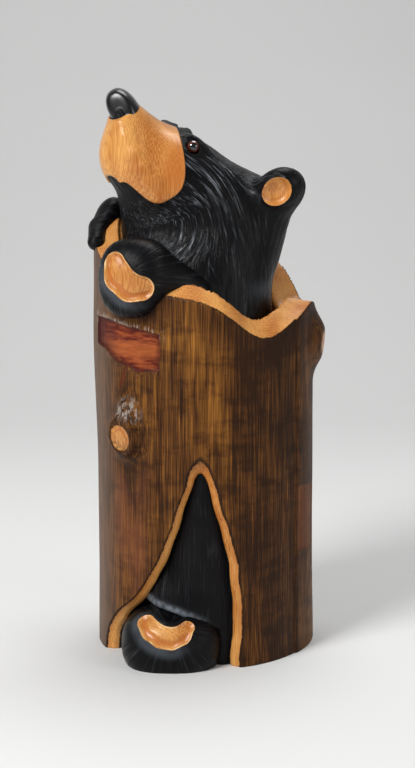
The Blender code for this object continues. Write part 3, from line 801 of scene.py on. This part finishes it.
def neck(p):
    rise = p[:, 2] - LOG_HEIGHT
    left, right, depth = (along(rise, curve) for curve in NECK_CURVES)
    middle, half = (left + right) / 2, (right - left) / 2
    rho = (np.abs((p[:, 0] - middle) / half) ** 2.3 + np.abs(p[:, 1] / depth) ** 2.3) ** (1 / 2.3)
    column = (rho - 1) * np.minimum(half, depth)
    bottom = LOG_HEIGHT - 1.6 * HOLLOW_DEPTH - p[:, 2]
    return trim(trim(column, rise - NECK_TOP, 20 * MM), bottom, MM)


def snout(q):
    forward, up, side = q[:, 0], q[:, 1], q[:, 2]
    top, under, half, widest = (along(forward, curve) for curve in SNOUT_CURVES)
    above = up > widest
    height = np.where(above, top - widest, widest - under)
    power = np.where(above, 2.2, 1.95)
    rho = ((np.abs(up - widest) / height) ** power + np.abs(side / half) ** power) ** (1 / power)
    tube = (rho - 1) * np.minimum(half, height)
    return trim(trim(tube, forward - 93 * MM, 4 * MM), 6 * MM - forward, 8 * MM)


def mirrored(q):
    """The same place on the near side of the head."""
    return np.column_stack((q[:, :2], -np.abs(q[:, 2])))


def bare_head(q):
    """Skull, cheeks, throat and snout under the fur's steps."""
    skull = pebble((q - mm(10, -9, 0)) @ BROW_AXES.T, 0, mm(50, 27, 35), 2.4)
    cheeks = egg(mirrored(q), mm(4, -18, -15), mm(34, 30, 21))
    throat = egg(q, mm(14, -42, 0), mm(32, 21, 22))
    return blend(blend(blend(skull, cheeks, 12 * MM), throat, 12 * MM), snout(q), 8 * MM)


def ear(q, centre, root):
    lobe = egg(q, centre, mm(16.5, 18, 12), EAR_AXES)
    side = np.sign(centre[2])
    neck_root = limb(q, centre + mm(-5, -2, -3 * side), root, 11 * MM, 11.5 * MM)
    return blend(lobe, neck_root, 8 * MM)


NOSE_AXES = turned(0.99, -0.12)


def nose(q):
    """A thimble over the snout's end, with a facet cut on each side."""
    pad = pebble((q - mm(84, -33, 0)) @ NOSE_AXES.T, 0, mm(18.2, 10.6, 15.5), 2.3)
    pad = trim(pad, 83.5 * MM - q[:, 0], 1.2 * MM)
    facet = mirrored(q) @ normal((0.42, -0.25, -0.87)) - 57 * MM
    return trim(pad, facet, 2 * MM)


NEAR_DISC = mm(-1.5, 36.7, -43)
FAR_DISC = mm(-26, 24, 42)
EYES = [to_head(np.array(sum(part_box(name), Vector()) / 2)[None])[0]
        for name in ("glass_eye_near", "glass_eye_far")]
EYE_RADIUS = 4.5 * MM
EYE_SIDE_AXES = turned(0.98, 0.2)


def head_layers(p):
    """Distances to the fur, the bare muzzle and the nose."""
    q = to_head(p)
    bare = bare_head(q)
    fur = blend(blend(bare, ear(q, mm(-6.6, 41, -31), mm(-46, 10, -18)), 16 * MM),
                ear(q, mm(-28, 27, 30), mm(-50, 4, 18)), 16 * MM)
    near_brow = egg(q, mm(44.5, 2, -13), mm(10, 4.2, 7), BROW_AXES)
    far_brow = limb(q, mm(58.5, -13.5, 19), mm(46, -3, 18.5), 4.5 * MM, 5.5 * MM)
    fur = blend(blend(fur, near_brow, 6 * MM), far_brow, 4 * MM)
    for eye in EYES:
        away = length(q - eye)
        fur = fur - 0.5 * MM * bell(away, 6.6 * MM, 1.3 * MM)
    fur = blend(fur, neck(p), 14 * MM)
    discs = np.minimum(*(egg(q, disc, mm(11, 11.5, 6.5), EAR_AXES) for disc in (NEAR_DISC, FAR_DISC)))
    fur = trim(fur, -discs, 0.8 * MM)
    behind = along(q[:, 1], MUZZLE_EDGE) - q[:, 0]
    crest = chain(mirrored(q), CREST, [CREST_RADIUS] * len(CREST), 3 * MM)
    muzzle = trim(blend(bare, crest, 7 * MM) - MUZZLE_STEP, behind, 1.0 * MM)
    mouth = egg(mirrored(q), mm(44, -62, -14), mm(9, 7, 12))
    muzzle = trim(trim(muzzle, -mouth, 1.5 * MM), q[:, 0] - 85.5 * MM, 1 * MM)
    for eye in EYES:
        side = np.sign(eye[2])
        ball = length(q - eye) - EYE_RADIUS - 0.15 * MM
        window = egg(q, eye + mm(0, 0, 3.6 * side), mm(4.9, 4.2, 3.6), EYE_SIDE_AXES)
        fur = trim(trim(fur, -ball, 0.3 * MM), -window, 0.8 * MM)
        muzzle = trim(muzzle, -ball, 0.3 * MM)
    return q, fur, muzzle, nose(q), behind, discs


def head_form(p):
    q, fur, muzzle, nose_pad, behind, discs = head_layers(p)
    return blend(blend(fur, muzzle, 0.6 * MM), nose_pad, 0.6 * MM)


# %% Carve the head
HEAD_VOXELS = mm(4, 2, 1.0)
HEAD_FINE_EDGE = 0.85 * MM

BODY_BALLS = ((mm(0, 0, 285), mm(56, 48, 50)), (mm(-5, 0, 245), mm(52, 56, 30)))
HEAD_BALLS = [(from_head(mm(*centre)), mm(*radii), HEAD_AXES) for centre, radii in (
    ((10, -12, 0), (46, 36, 38)), ((45, -33, 0), (46, 28, 28)), ((88, -33.5, 0), (14, 10, 14)),
    ((-12, 36, -30), (20, 20, 13)), ((-30, 24, 29), (20, 19, 13)))]
head_mesh = carved_piece(ball_blank("head blank", *BODY_BALLS, *HEAD_BALLS), head_form, HEAD_VOXELS)


def head_edges(p):
    """Where the head needs finer faces: the eyes, the muzzle's edge, the nose and the ear discs."""
    q, fur, muzzle, nose_pad, behind, discs = head_layers(p)
    wanted = (np.abs(behind) < 3 * MM) & (np.abs(fur - muzzle) < 3 * MM)
    wanted |= np.abs(nose_pad - muzzle) < 3 * MM
    wanted |= np.abs(discs) < 2.5 * MM
    for eye in EYES:
        wanted |= length(q - eye) < 10 * MM
    return wanted


refined(head_mesh, head_edges(get_points(head_mesh)), HEAD_FINE_EDGE)
carve(head_mesh, head_form, 2, 0.6 * MM)
print("head:", len(head_mesh.polygons), "faces")

# %% [markdown]
# ## The lie of the fur
# Carved fur is a mass of thin strokes that follow the body. Each point is measured along a line from the
# nose down the neck and round it, and a noise that is long one way and narrow the other gives the strokes.
# %% Strand coordinates on the head and neck
FLOW_LINE = np.array([from_head(mm(110, -36, 0)), from_head(mm(60, -30, 0)), from_head(mm(10, -14, 0)),
                      mm(2, 0, 285), mm(-3, 0, 245), mm(-4, 0, 200)])
FLOW_RADIUS = 45 * MM


def flow(p):
    """Places along the flow line and round it, as if the body were one straight round bar."""
    steps = np.linspace(0, len(FLOW_LINE) - 1, 120)
    line = np.column_stack([np.interp(steps, range(len(FLOW_LINE)), FLOW_LINE[:, axis]) for axis in range(3)])
    kernel = np.ones(15) / 15
    padded = np.pad(line, ((7, 7), (0, 0)), mode="edge")
    line = np.column_stack([np.convolve(padded[:, axis], kernel, "valid") for axis in range(3)])
    lengths = np.concatenate(([0], np.cumsum(length(np.diff(line, axis=0)))))
    ahead = np.gradient(line, axis=0)
    ahead /= length(ahead)[:, None]
    nearest = np.empty(len(p), int)
    for start in range(0, len(p), 20000):
        gaps = p[start:start + 20000, None] - line[None]
        nearest[start:start + 20000] = (gaps * gaps).sum(axis=2).argmin(axis=1)
    offset = p - line[nearest]
    run = (offset * ahead[nearest]).sum(axis=1)
    offset = offset - run[:, None] * ahead[nearest]
    away = offset / (length(offset)[:, None] + 1e-9)
    return np.column_stack((away[:, :2] * FLOW_RADIUS, lengths[nearest] + run))


strand = flow(get_points(head_mesh))

# %% Strokes on the head


def spot(p, x, z, wide, tall):
    """1 at a place on the near side, given in millimetres, falling off to 0 round it."""
    across = (p[:, 0] / MM - x) / wide
    up = (p[:, 2] / MM - z) / tall
    return np.exp(-across * across - up * up) * fade(-p[:, 1], 5 * MM, 25 * MM)


STROKE_DEPTH = 0.36 * MM
points = get_points(head_mesh)
q, fur, muzzle, nose_pad, behind, discs = head_layers(points)
muzzle_mask = np.minimum(-behind, fur - muzzle + 0.3 * MM)
nose_mask = np.minimum(fur, muzzle) - nose_pad
disc_mask = 0.35 * MM - discs
furry = 1 - fade(np.maximum(muzzle_mask, nose_mask), -1 * MM, 0.2 * MM)
furry *= 1 - fade(disc_mask, -2 * MM, -0.5 * MM)
for eye in EYES:
    furry *= fade(length(q - eye), 6 * MM, 11 * MM)
chest = spot(points, -26, 294, 34, 20)
cheek = spot(points, 4, 338, 26, 22)
strand[:, 0] += 0.9 * chest * (strand[:, 2] - strand[:, 2].mean())
bent = strand.copy()
bent[:, :2] += 2.5 * MM * np.column_stack((soft_noise(points, 26 * MM), soft_noise(points, 26 * MM, 4.4)))
strokes = grooves(bent, mm(4.2, 4.2, 34)) + 0.6 * grooves(bent, mm(2.6, 2.6, 20), 6.6)
raise_points(head_mesh, -STROKE_DEPTH * furry * strokes)
keep(head_mesh, "strand", strand)
keep(head_mesh, "bare", np.maximum(muzzle_mask, disc_mask) / MM)
keep(head_mesh, "nose", nose_mask / MM)
keep(head_mesh, "disc", np.minimum(length(q - NEAR_DISC), length(q - FAR_DISC)) / MM)
# Painted highlight: grey rubbed into the strokes most where the light falls, on the cheek, the chest and the
# crown.
crown = fade(points[:, 2], 320 * MM, 350 * MM)
keep(head_mesh, "rubbed_and_highlight", np.clip(0.12 + 0.85 * cheek + 0.9 * chest + 0.35 * crown, 0, 1.2))
# Painted highlight: a grey band round the neck's rounded foot, on its near right side.
foot_of_neck = bell(points[:, 2], 262 * MM, 6 * MM) * fade(points[:, 0], 25 * MM, 40 * MM)
keep(head_mesh, "painted_highlight", 0.2 * foot_of_neck * fade(-points[:, 1], 0, 20 * MM))
keep(head_mesh, "pad", NOT_HERE)
# Painted shade: the muzzle's lower right side is darkened to a deeper orange.
keep(head_mesh, "deep_shade", 1.8 * spot(points, -20, 345, 13, 20) - 0.25)

# %% Values on the paws and the foot
PAW_SPREAD = 22 * MM
PAW_STROKE_DEPTH = 0.16 * MM
CRESCENT_DEPTH = 0.8 * MM
PAW_RUBBED, LEG_RUBBED = 0.14, 0.1


def paw_values(mesh, pad, middle, facing, crescent=0):
    """Strokes run outwards from the pad's middle. The crescent is the deeper cut low on the pad's left."""
    points = get_points(mesh)
    side = normal(np.cross(facing, (0, 0, 1)))
    up = np.cross(side, facing)
    offset = points - middle
    spin = np.arctan2(offset @ up, offset @ side)
    out = length(offset)
    strand = np.column_stack((np.cos(spin) * PAW_SPREAD, np.sin(spin) * PAW_SPREAD, out))
    bare = -pad(points) if pad else np.full(len(points), NOT_HERE * MM)
    lit = -pad(points - crescent) - 1 * MM if pad else bare
    # The crescent is cut deeper and coloured darker: partly end grain, partly painted shade.
    deep_shade = np.minimum(bare - 1.2 * MM, 1 * MM - lit)
    # Painted highlight: a soft grey round the pad, on its lower left side.
    low_left = fade(offset @ side - offset @ up, -6 * MM, 20 * MM)
    uneven = soft_noise(points, 6 * MM) * 0.3 + 0.7
    keep(mesh, "painted_highlight", 0.4 * fade(bare, -9 * MM, -2 * MM) * low_left * uneven)
    keep(mesh, "rubbed_and_highlight", PAW_RUBBED)
    furry = 1 - fade(bare, -2.5 * MM, -0.5 * MM)
    strokes = grooves(strand, mm(3.2, 3.2, 24), 1.3)
    raise_points(mesh, -PAW_STROKE_DEPTH * strokes * furry - CRESCENT_DEPTH * fade(deep_shade, 0, 2 * MM))
    for name, values in (("strand", strand), ("bare", bare / MM), ("pad", bare / MM), ("deep_shade", deep_shade / MM),
                         ("nose", NOT_HERE), ("disc", NO_DISC)):
        keep(mesh, name, values)


paw_values(near_paw_mesh, paw_pad, mm(-54, -66, 272), normal((-0.26, -0.96, 0.1)), mm(3.5, 0, 4.5))
paw_values(far_paw_mesh, None, mm(-70, 8, 300), normal((-1, -0.3, 0)))
paw_values(foot_mesh, foot_pad, mm(-26, -66, 24), normal((0, -0.9, 0.45)), mm(1.5, 0, 4.5))
sawn_level(foot_mesh)
leg_points = get_points(leg_mesh)
above_hem = leg_points[:, 2] - hem_height(np.arctan2(leg_points[:, 0], -leg_points[:, 1]))
# Painted highlight: a grey band just above the leg's lower edge.
hem_light = bell(above_hem, 2.5 * MM, 2.2 * MM) * fade(-leg_points[:, 0], -5 * MM, 12 * MM)
keep(leg_mesh, "painted_highlight", hem_light * (0.65 + 0.6 * soft_noise(leg_points, 2.5 * MM)))
for name in ("bare", "nose", "pad", "deep_shade"):
    keep(leg_mesh, name, NOT_HERE)
keep(leg_mesh, "disc", NO_DISC)
keep(leg_mesh, "rubbed_and_highlight", LEG_RUBBED)

# %% [markdown]
# ## Materials: small helpers
# These helpers put a node in the tree that is open at the time, so that each tree below can be read from
# top to bottom. Colours are given as they look on a screen and turned into linear values.
# %% Node helpers


def paint(red, green, blue):
    """A screen colour, 0 to 255, as a linear one."""
    parts = (red, green, blue)
    return tuple(((c / 255 + 0.055) / 1.055) ** 2.4 if c > 10 else c / 255 / 12.92 for c in parts) + (1,)


def feed(node, inputs):
    """Link sockets to a node's inputs, or set the inputs that are given as plain values."""
    for socket, value in inputs.items():
        if isinstance(value, bpy.types.NodeSocket):
            tree.links.new(value, node.inputs[socket])
        else:
            node.inputs[socket].default_value = value


def put(kind, inputs=None, **settings):
    made = tree.nodes.new("ShaderNode" + kind)
    for name, value in settings.items():
        setattr(made, name, value)
    feed(made, inputs or {})
    return made


def maths(operation, a, b=0.0, clamp=False):
    return put("Math", {0: a, 1: b}, operation=operation, use_clamp=clamp).outputs[0]


def times(a, b):
    return maths("MULTIPLY", a, b)


def plus(a, b, clamp=False):
    return maths("ADD", a, b, clamp)


def minus(a, b):
    return maths("SUBTRACT", a, b)


def remap(value, low, high, to_low=0.0, to_high=1.0):
    inputs = {"Value": value, "From Min": low, "From Max": high, "To Min": to_low, "To Max": to_high}
    return put("MapRange", inputs, clamp=True).outputs[0]


def band(value, start, full, still, end, height=1.0):
    """A mask that rises from start to full and falls from still to end."""
    return times(remap(value, start, full), remap(value, still, end, height, 0.0))


def mixed(share, a, b):
    return put("Mix", {0: share, 6: a, 7: b}, data_type="RGBA").outputs[2]


def layer(under, mask, amount, over):
    """A colour laid over another through a mask, at part of its strength."""
    return mixed(times(mask, amount), under, over)


def stretched(vector, scale):
    return put("VectorMath", {0: vector, 1: scale}, operation="MULTIPLY").outputs[0]


def noise(vector, scale=1.0, detail=2.0, roughness=0.5):
    """Noise between 0 and 1. A scale with three values stretches it along the axes."""
    if isinstance(scale, tuple):
        vector = stretched(vector, scale)
        scale = 1.0
    inputs = {"Vector": vector, "Scale": scale, "Detail": detail, "Roughness": roughness}
    return put("TexNoise", inputs).outputs["Fac"]


def stored(name, kind="Fac"):
    return put("Attribute", attribute_name=name).outputs[kind]


def ramp(value, *stops):
    """A colour ramp from (position, colour) stops, the first and the last being its ends."""
    node = put("ValToRGB", {"Fac": value})
    elements = node.color_ramp.elements
    for element, (position, colour) in zip(elements, (stops[0], stops[-1])):
        element.position, element.color = position, colour
    for position, colour in stops[1:-1]:
        elements.new(position).color = colour
    return node.outputs["Color"]


def new_group(name, inputs, outputs):
    """An empty node group with the given sockets: (name, kind, default)."""
    group = bpy.data.node_groups.new(name, "ShaderNodeTree")
    for socket_name, kind, default in inputs:
        made = group.interface.new_socket(socket_name, in_out="INPUT", socket_type="NodeSocket" + kind)
        made.default_value = default
    for socket_name, kind in outputs:
        group.interface.new_socket(socket_name, in_out="OUTPUT", socket_type="NodeSocket" + kind)
    return group, group.nodes.new("NodeGroupInput").outputs, group.nodes.new("NodeGroupOutput")


def use_group(group, inputs):
    return put("Group", inputs, node_tree=group).outputs


def new_material(name):
    made = bpy.data.materials.new(name)
    made.use_nodes = True
    return made, made.node_tree, made.node_tree.nodes["Principled BSDF"]


VECTOR_IN = ("Vector", (0, 0, 0))
FINISH = (("Color", "Color"), ("Roughness", "Float"), ("Height", "Float"))

# %% [markdown]
# ## Wood under lacquer
# Growth rings are shells round the log's pith, so they show as arcs and lines wherever a cut crosses them.
# Fine fibres run up the log. Both are in one group that the bare wood and the stained bark share.
# %% Wood grain group
grain_group, given, gives = new_group("wood grain", (
    ("Place", *VECTOR_IN), ("Ring Spacing", "Float", 0.0017), ("Wander", "Float", 0.006),
    ("Fibre Width", "Float", 0.0008)), (("Rings", "Float"), ("Fibres", "Float"), ("Clouds", "Float")))
tree = grain_group
place = given["Place"]
swell = noise(stretched(place, (1, 1, 0.22)), 26, 2)
swell = times(minus(swell, 0.5), given["Wander"])
pith = put("VectorMath", {0: place, 1: (-0.006, -0.012, 0)}, operation="ADD").outputs[0]
from_pith = put("VectorMath", {0: stretched(pith, (1, 1, 0.04))}, operation="LENGTH").outputs["Value"]
year = maths("FRACT", maths("DIVIDE", plus(from_pith, swell), given["Ring Spacing"]))
rings = maths("MAXIMUM", maths("POWER", year, 3.0), remap(year, 0.0, 0.12, 1.0, 0.0))
fine = {0: stretched(place, (1, 1, 0.035)), "Scale": maths("DIVIDE", 1.0, given["Fibre Width"])}
fibre_place = put("VectorMath", fine, operation="SCALE").outputs[0]
clouds = noise(stretched(place, (1, 1, 0.35)), 45, 3)
feed(gives, {"Rings": rings, "Fibres": noise(fibre_place, 1.0, 3, 0.6), "Clouds": clouds})

# %% Bare wood group: colour, roughness and height of lacquered wood
bare_group, given, gives = new_group("lacquered wood", (
    ("Place", *VECTOR_IN), ("Light", "Color", paint(226, 166, 92)), ("Deep", "Color", paint(158, 84, 24)),
    ("Ring Strength", "Float", 0.20)), FINISH)
tree = bare_group
grain = use_group(grain_group, {"Place": given["Place"], "Ring Spacing": 0.0014, "Wander": 0.005,
                                "Fibre Width": 0.0007})
depth = plus(times(grain["Rings"], given["Ring Strength"]), remap(grain["Fibres"], 0.38, 0.64, 0.0, 0.45))
depth = plus(depth, remap(grain["Clouds"], 0.38, 0.62, 0.0, 0.5), clamp=True)
feed(gives, {"Color": mixed(depth, given["Light"], given["Deep"]),
             "Roughness": remap(depth, 0, 1, 0.30, 0.42), "Height": times(depth, -0.00008)})

# %% [markdown]
# ## Painted fur
# The bear is painted satin black and rubbed back a little; the grey ridges between strokes are also painted
# highlight.
# %% Fur group
fur_group, given, gives = new_group("painted fur", (
    ("Strand", *VECTOR_IN), ("Place", *VECTOR_IN), ("Black", "Color", paint(8, 8, 10)),
    ("Rubbed Grey And Highlight", "Color", paint(128, 132, 138)), ("Amount", "Float", 0.5)), FINISH)
tree = fur_group
fine = noise(given["Strand"], (1150, 1150, 65), 3, 0.6)
broad = noise(given["Strand"], (420, 420, 32), 2)
stroke = plus(times(fine, 0.55), times(broad, 0.45))
rub_and_highlight = times(remap(stroke, 0.53, 0.66), remap(noise(given["Place"], 60, 2), 0.38, 0.60, 0.25, 1.0))
feed(gives, {"Color": layer(given["Black"], rub_and_highlight, given["Amount"], given["Rubbed Grey And Highlight"]),
             "Roughness": remap(stroke, 0.35, 0.65, 0.48, 0.22), "Height": times(stroke, 0.0011)})

# %% Ragged edge group: a crisp paint edge that wavers a little
edge_group, given, gives = new_group("ragged edge", (
    ("Distance", "Float", 0.0), ("Place", *VECTOR_IN), ("Waver", "Float", 0.5), ("Soft", "Float", 0.15)),
    (("Mask", "Float"),))
tree = edge_group
jitter = minus(noise(given["Place"], 1.0, 3, 0.6), 0.5)
shifted = plus(given["Distance"], times(jitter, given["Waver"]))
feed(gives, {"Mask": plus(maths("DIVIDE", shifted, given["Soft"]), 0.5, clamp=True)})


def ragged(distance, scale, waver, soft):
    inputs = {"Distance": distance, "Place": stretched(place, scale), "Waver": waver, "Soft": soft}
    return use_group(edge_group, inputs)["Mask"]


def finished(shader, colour, rough, height, coat, coat_rough, specular):
    """Join a tree's last values to its shader."""
    bump = put("Bump", {"Height": height, "Strength": 0.8, "Distance": 1.0})
    feed(shader, {"Base Color": colour, "Roughness": rough, "Normal": bump.outputs["Normal"],
                  "Coat Weight": coat, "Coat Roughness": coat_rough, "Specular IOR Level": specular})


# %% Bear material
bear_paint, tree, shader = new_material("painted bear")
place = put("TexCoord").outputs["Object"]
bare_mask = ragged(stored("bare"), (700, 700, 500), 0.5, 0.12)
nose_on = ragged(stored("nose"), (500, 500, 500), 0.4, 0.15)
furred = use_group(fur_group, {"Strand": stored("strand", "Vector"), "Place": place,
                               "Amount": stored("rubbed_and_highlight")})
# Painted highlight: a blue-grey laid over the fur where a piece stores it.
fur_colour = mixed(stored("painted_highlight"), furred["Color"], paint(112, 118, 126))
wood = use_group(bare_group, {"Place": place})
disc_distance = stored("disc")
ring_wave = maths("SINE", times(disc_distance, 2.1))
ring_fade = remap(disc_distance, 11.0, 12.0, 0.55, 0.0)
wood_colour = layer(wood["Color"], remap(ring_wave, 0.2, 1.0), ring_fade, paint(170, 98, 44))
wood_colour = mixed(band(disc_distance, 1.2, 1.8, 2.4, 3.2, 0.75), wood_colour, paint(120, 60, 26))
colour = mixed(bare_mask, fur_colour, wood_colour)
pad_in = stored("pad")
# Painted highlight: a cream line just inside each pad's carved edge.
pad_edge_highlight = times(remap(pad_in, 0.5, 1.1, 1.0, 0.0), remap(noise(place, 160, 3), 0.40, 0.60))
colour = layer(colour, times(remap(pad_in, 0.0, 0.2), pad_edge_highlight), 0.75, paint(238, 204, 148))
# Deeper orange: painted shade on the muzzle's lower right; in the pads' crescents partly end grain, partly
# painted shade.
colour = layer(colour, remap(stored("deep_shade"), -0.2, 1.6, 0.0, 0.75), bare_mask, paint(178, 98, 36))
colour = mixed(nose_on, colour, paint(9, 9, 11))
rough = mixed(bare_mask, furred["Roughness"], wood["Roughness"])
rough = mixed(nose_on, rough, (0.34, 0.34, 0.34, 1))
height = mixed(bare_mask, furred["Height"], wood["Height"])
height = mixed(nose_on, height, (0, 0, 0, 1))
coat = maths("MAXIMUM", times(bare_mask, 0.5), times(nose_on, 0.9))
finished(shader, colour, rough, height, coat, 0.28, 0.13)

# %% Log material: the stained bark side
stained, tree, shader = new_material("stained log")
place = put("TexCoord").outputs["Object"]
up = put("SeparateXYZ", {"Vector": place}).outputs["Z"]
inset_in = stored("inset")
red_in = stored("red")
weathered_and_sheen = stored("weathered_and_sheen")
grain = use_group(grain_group, {"Place": place, "Ring Spacing": 0.0042, "Wander": 0.030,
                                "Fibre Width": 0.0011})
streak_wide = noise(place, (420, 420, 10), 3, 0.6)
streak_thin = noise(place, (1150, 1150, 24), 3, 0.65)
blotch = noise(place, (34, 34, 16), 3)
smudge = noise(place, (45, 45, 110), 4, 0.6)
level = plus(times(streak_wide, 0.30), times(streak_thin, 0.65))
level = plus(level, times(blotch, 0.30))
level = minus(level, remap(smudge, 0.48, 0.70, 0.115, 0.21))
level = plus(level, times(grain["Rings"], -0.06))
level = plus(level, times(stored("tone"), 0.16))
stain = ramp(level, (0.38, paint(44, 24, 8)), (0.48, paint(76, 44, 16)), (0.59, paint(112, 70, 27)),
             (0.69, paint(150, 98, 38)), (0.80, paint(190, 128, 52)))
reddish = times(remap(blotch, 0.42, 0.62), stored("blotched"))
stain = layer(stain, reddish, 0.5, paint(104, 58, 40))
# Painted sheen over weathered bark: grey streaks on the log's left side.
stain = layer(stain, remap(streak_thin, 0.35, 0.65, 0.35, 0.8), weathered_and_sheen, paint(118, 98, 84))

# %% Log material: patches, torn lips with a painted highlight, and dark edges over the stain
red_streaks = noise(place, (70, 70, 420), 4, 0.65)
red = mixed(remap(red_streaks, 0.40, 0.62), paint(84, 24, 16), paint(150, 74, 38))
red = layer(red, band(up, 0.216, 0.220, 0.226, 0.229), 0.55, paint(170, 92, 46))
red = layer(red, weathered_and_sheen, 0.9, paint(66, 32, 32))
red = mixed(remap(red_in, 0.0, 4.5, 0.75, 0.0), red, paint(48, 16, 14))
# Pale fibres on the red patch's raised upper lip: partly torn bark, partly a painted highlight.
torn_and_highlight = remap(noise(place, (700, 700, 120), 3, 0.6), 0.48, 0.58)
torn_and_highlight = times(torn_and_highlight, remap(up, 0.228, 0.234, 0.0, 0.5))
stain = layer(stain, torn_and_highlight, remap(red_in, -4.0, -1.0), paint(186, 166, 152))
stain = mixed(ragged(red_in, (600, 600, 150), 1.2, 0.8), stain, red)
low_red = mixed(streak_wide, paint(84, 36, 8), paint(150, 76, 20))
stain = layer(stain, ragged(stored("low_red"), (300, 300, 150), 1.0, 1.0), 0.4, low_red)
# Pale tufts on the collar over the knot: partly silvery fibres, partly a painted highlight.
tuft_and_highlight = remap(noise(place, (420, 420, 190), 3, 0.6), 0.47, 0.60)
stain = layer(stain, tuft_and_highlight, remap(stored("collar"), 1.0, 7.0, 0.0, 0.8), paint(172, 164, 156))
stain = layer(stain, remap(stored("nick"), -0.3, 0.6), 0.7, paint(84, 34, 20))
stain = layer(stain, band(inset_in, -1.2, -0.2, 1.0, 1.2), 0.8, paint(34, 20, 12))

# %% Log material: the bare cuts and the black inside the opening
bare_mask = ragged(minus(stored("bare_depth"), 0.95), (900, 900, 200), 2.0, 0.15)
black_mask = ragged(minus(inset_in, 5.7), (500, 500, 200), 0.5, 0.15)
wood = use_group(bare_group, {"Place": place})
wood_colour = mixed(remap(inset_in, 1.0, 3.2, 0.55, 0.0), wood["Color"], paint(160, 92, 34))
wood_colour = mixed(remap(inset_in, -1.0, 0.0, 1.0, 0.0), wood_colour, wood["Color"])
wood_colour = layer(wood_colour, band(stored("knot"), 5.0, 6.0, 6.8, 7.8), 0.5, paint(150, 84, 36))
cap = times(remap(up, 0.1385, 0.146), remap(inset_in, 4.0, 4.8, 1.0, 0.0))
cap = times(cap, remap(up, 0.155, 0.165, 1.0, 0.0))
lumps = remap(noise(place, 330, 3, 0.6), 0.40, 0.60, 0.15, 0.85)
wood_colour = layer(wood_colour, cap, lumps, paint(88, 60, 30))
colour = mixed(black_mask, mixed(bare_mask, stain, wood_colour), paint(10, 10, 11))
rough = mixed(bare_mask, remap(level, 0.4, 0.9, 0.50, 0.38), wood["Roughness"])
rough = mixed(black_mask, rough, (0.5, 0.5, 0.5, 1))
height = mixed(bare_mask, times(plus(streak_thin, streak_wide), 0.00035), wood["Height"])
finished(shader, colour, rough, height, times(bare_mask, 0.3), 0.3, 0.12)

# %% [markdown]
# ## Glass eyes
# Each eye is a glass bead with a black pupil and a thin red-brown iris. The colour only depends on the angle
# from the direction of the gaze, which is stored on the ball.
# %% Eyes
glass, tree, shader = new_material("brown glass eye")
iris = ramp(maths("DIVIDE", stored("gaze"), 90), (0.40, paint(4, 3, 3)), (0.47, paint(92, 36, 18)),
            (0.66, paint(70, 24, 12)), (0.90, paint(26, 9, 5)))
feed(shader, {"Base Color": iris, "Roughness": 0.06, "Coat Weight": 1.0, "Coat Roughness": 0.02})


def glass_eye(name, node):
    low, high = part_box(node)
    centre = (low + high) / 2
    bm = bmesh.new()
    there = Matrix.Translation(centre)
    bmesh.ops.create_uvsphere(bm, u_segments=64, v_segments=32, radius=EYE_RADIUS, matrix=there)
    mesh = to_mesh(bm, name)
    eye = to_head(np.array(centre)[None])[0]
    outward = np.sign(eye[2]) * FAR_SIDE
    gaze = normal(outward + 0.25 * SNOUT_LINE + 0.05 * HEAD_AXES[1])
    spots = get_points(mesh) - np.array(centre)
    spots /= length(spots)[:, None]
    keep(mesh, "gaze", np.degrees(np.arccos(np.clip(spots @ gaze, -1, 1))))
    show_piece(name, mesh, glass, [node])


glass_eye("eye_near", "glass_eye_near")
glass_eye("eye_far", "glass_eye_far")

# %% Show the carved pieces
BLOCK = ["carved_bear_log"]
show_piece("log_wall", log_mesh, stained, BLOCK)
for name, mesh in (("hind_leg", leg_mesh), ("hind_foot", foot_mesh), ("front_paw_near", near_paw_mesh),
                   ("front_paw_far", far_paw_mesh), ("bear_head", head_mesh)):
    show_piece(name, mesh, bear_paint, BLOCK)

# %% [markdown]
# ## Floor and light
# A wide lamp stands at the upper left, a weaker one fills the right side, and a pale floor curves up behind
# the object.
# %% Floor
bm = bmesh.new()
bmesh.ops.create_grid(bm, x_segments=1, y_segments=40, size=3)
floor_mesh = to_mesh(bm, "floor")
ground = get_points(floor_mesh)
back = np.clip(ground[:, 1] - 0.9, 0, None)
ground[:, 2] = np.where(back < 1.0, 1.0 - np.sqrt(np.clip(1 - back * back, 0, 1)), 1.0 + (back - 1.0) * 3)
ground[:, 1] -= np.clip(back - 1.0, 0, None)
set_points(floor_mesh, ground)
floor_mesh.shade_smooth()
floor_paint, tree, shader = new_material("pale floor")
feed(shader, {"Base Color": (0.72, 0.72, 0.71, 1), "Roughness": 0.8})
floor_mesh.materials.append(floor_paint)
floor = new_object("floor", floor_mesh)
floor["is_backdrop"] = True

# %% Lights


OBJECT_MIDDLE = Vector((0, 0, 0.2))


def soft_lamp(name, place, size, power):
    """A round lamp that points at the object's middle."""
    lamp = new_object(name, bpy.data.lights.new(name, "AREA"))
    lamp.data.shape = "DISK"
    lamp.data.size = size
    lamp.data.energy = power
    lamp.location = place
    lamp.rotation_euler = (OBJECT_MIDDLE - Vector(place)).to_track_quat("-Z", "Y").to_euler()


soft_lamp("window", (-1.1, -1.2, 1.35), 0.8, 38)
soft_lamp("fill", (1.5, -0.9, 0.7), 0.9, 7)
soft_lamp("overhead", (0.2, 0.4, 1.7), 1.0, 14)
world = bpy.data.worlds.new("room")
world.use_nodes = True
feed(world.node_tree.nodes["Background"], {"Color": (0.85, 0.87, 0.9, 1), "Strength": 0.22})
bpy.context.scene.world = world
bpy.context.scene.view_settings.view_transform = "Standard"

# %% Sizes of the imported model and of this one
visual_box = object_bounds()
for name, box in (("cad", cad_box), ("visual", visual_box)):
    print(name, [tuple(round(x, 4) for x in corner) for corner in box])
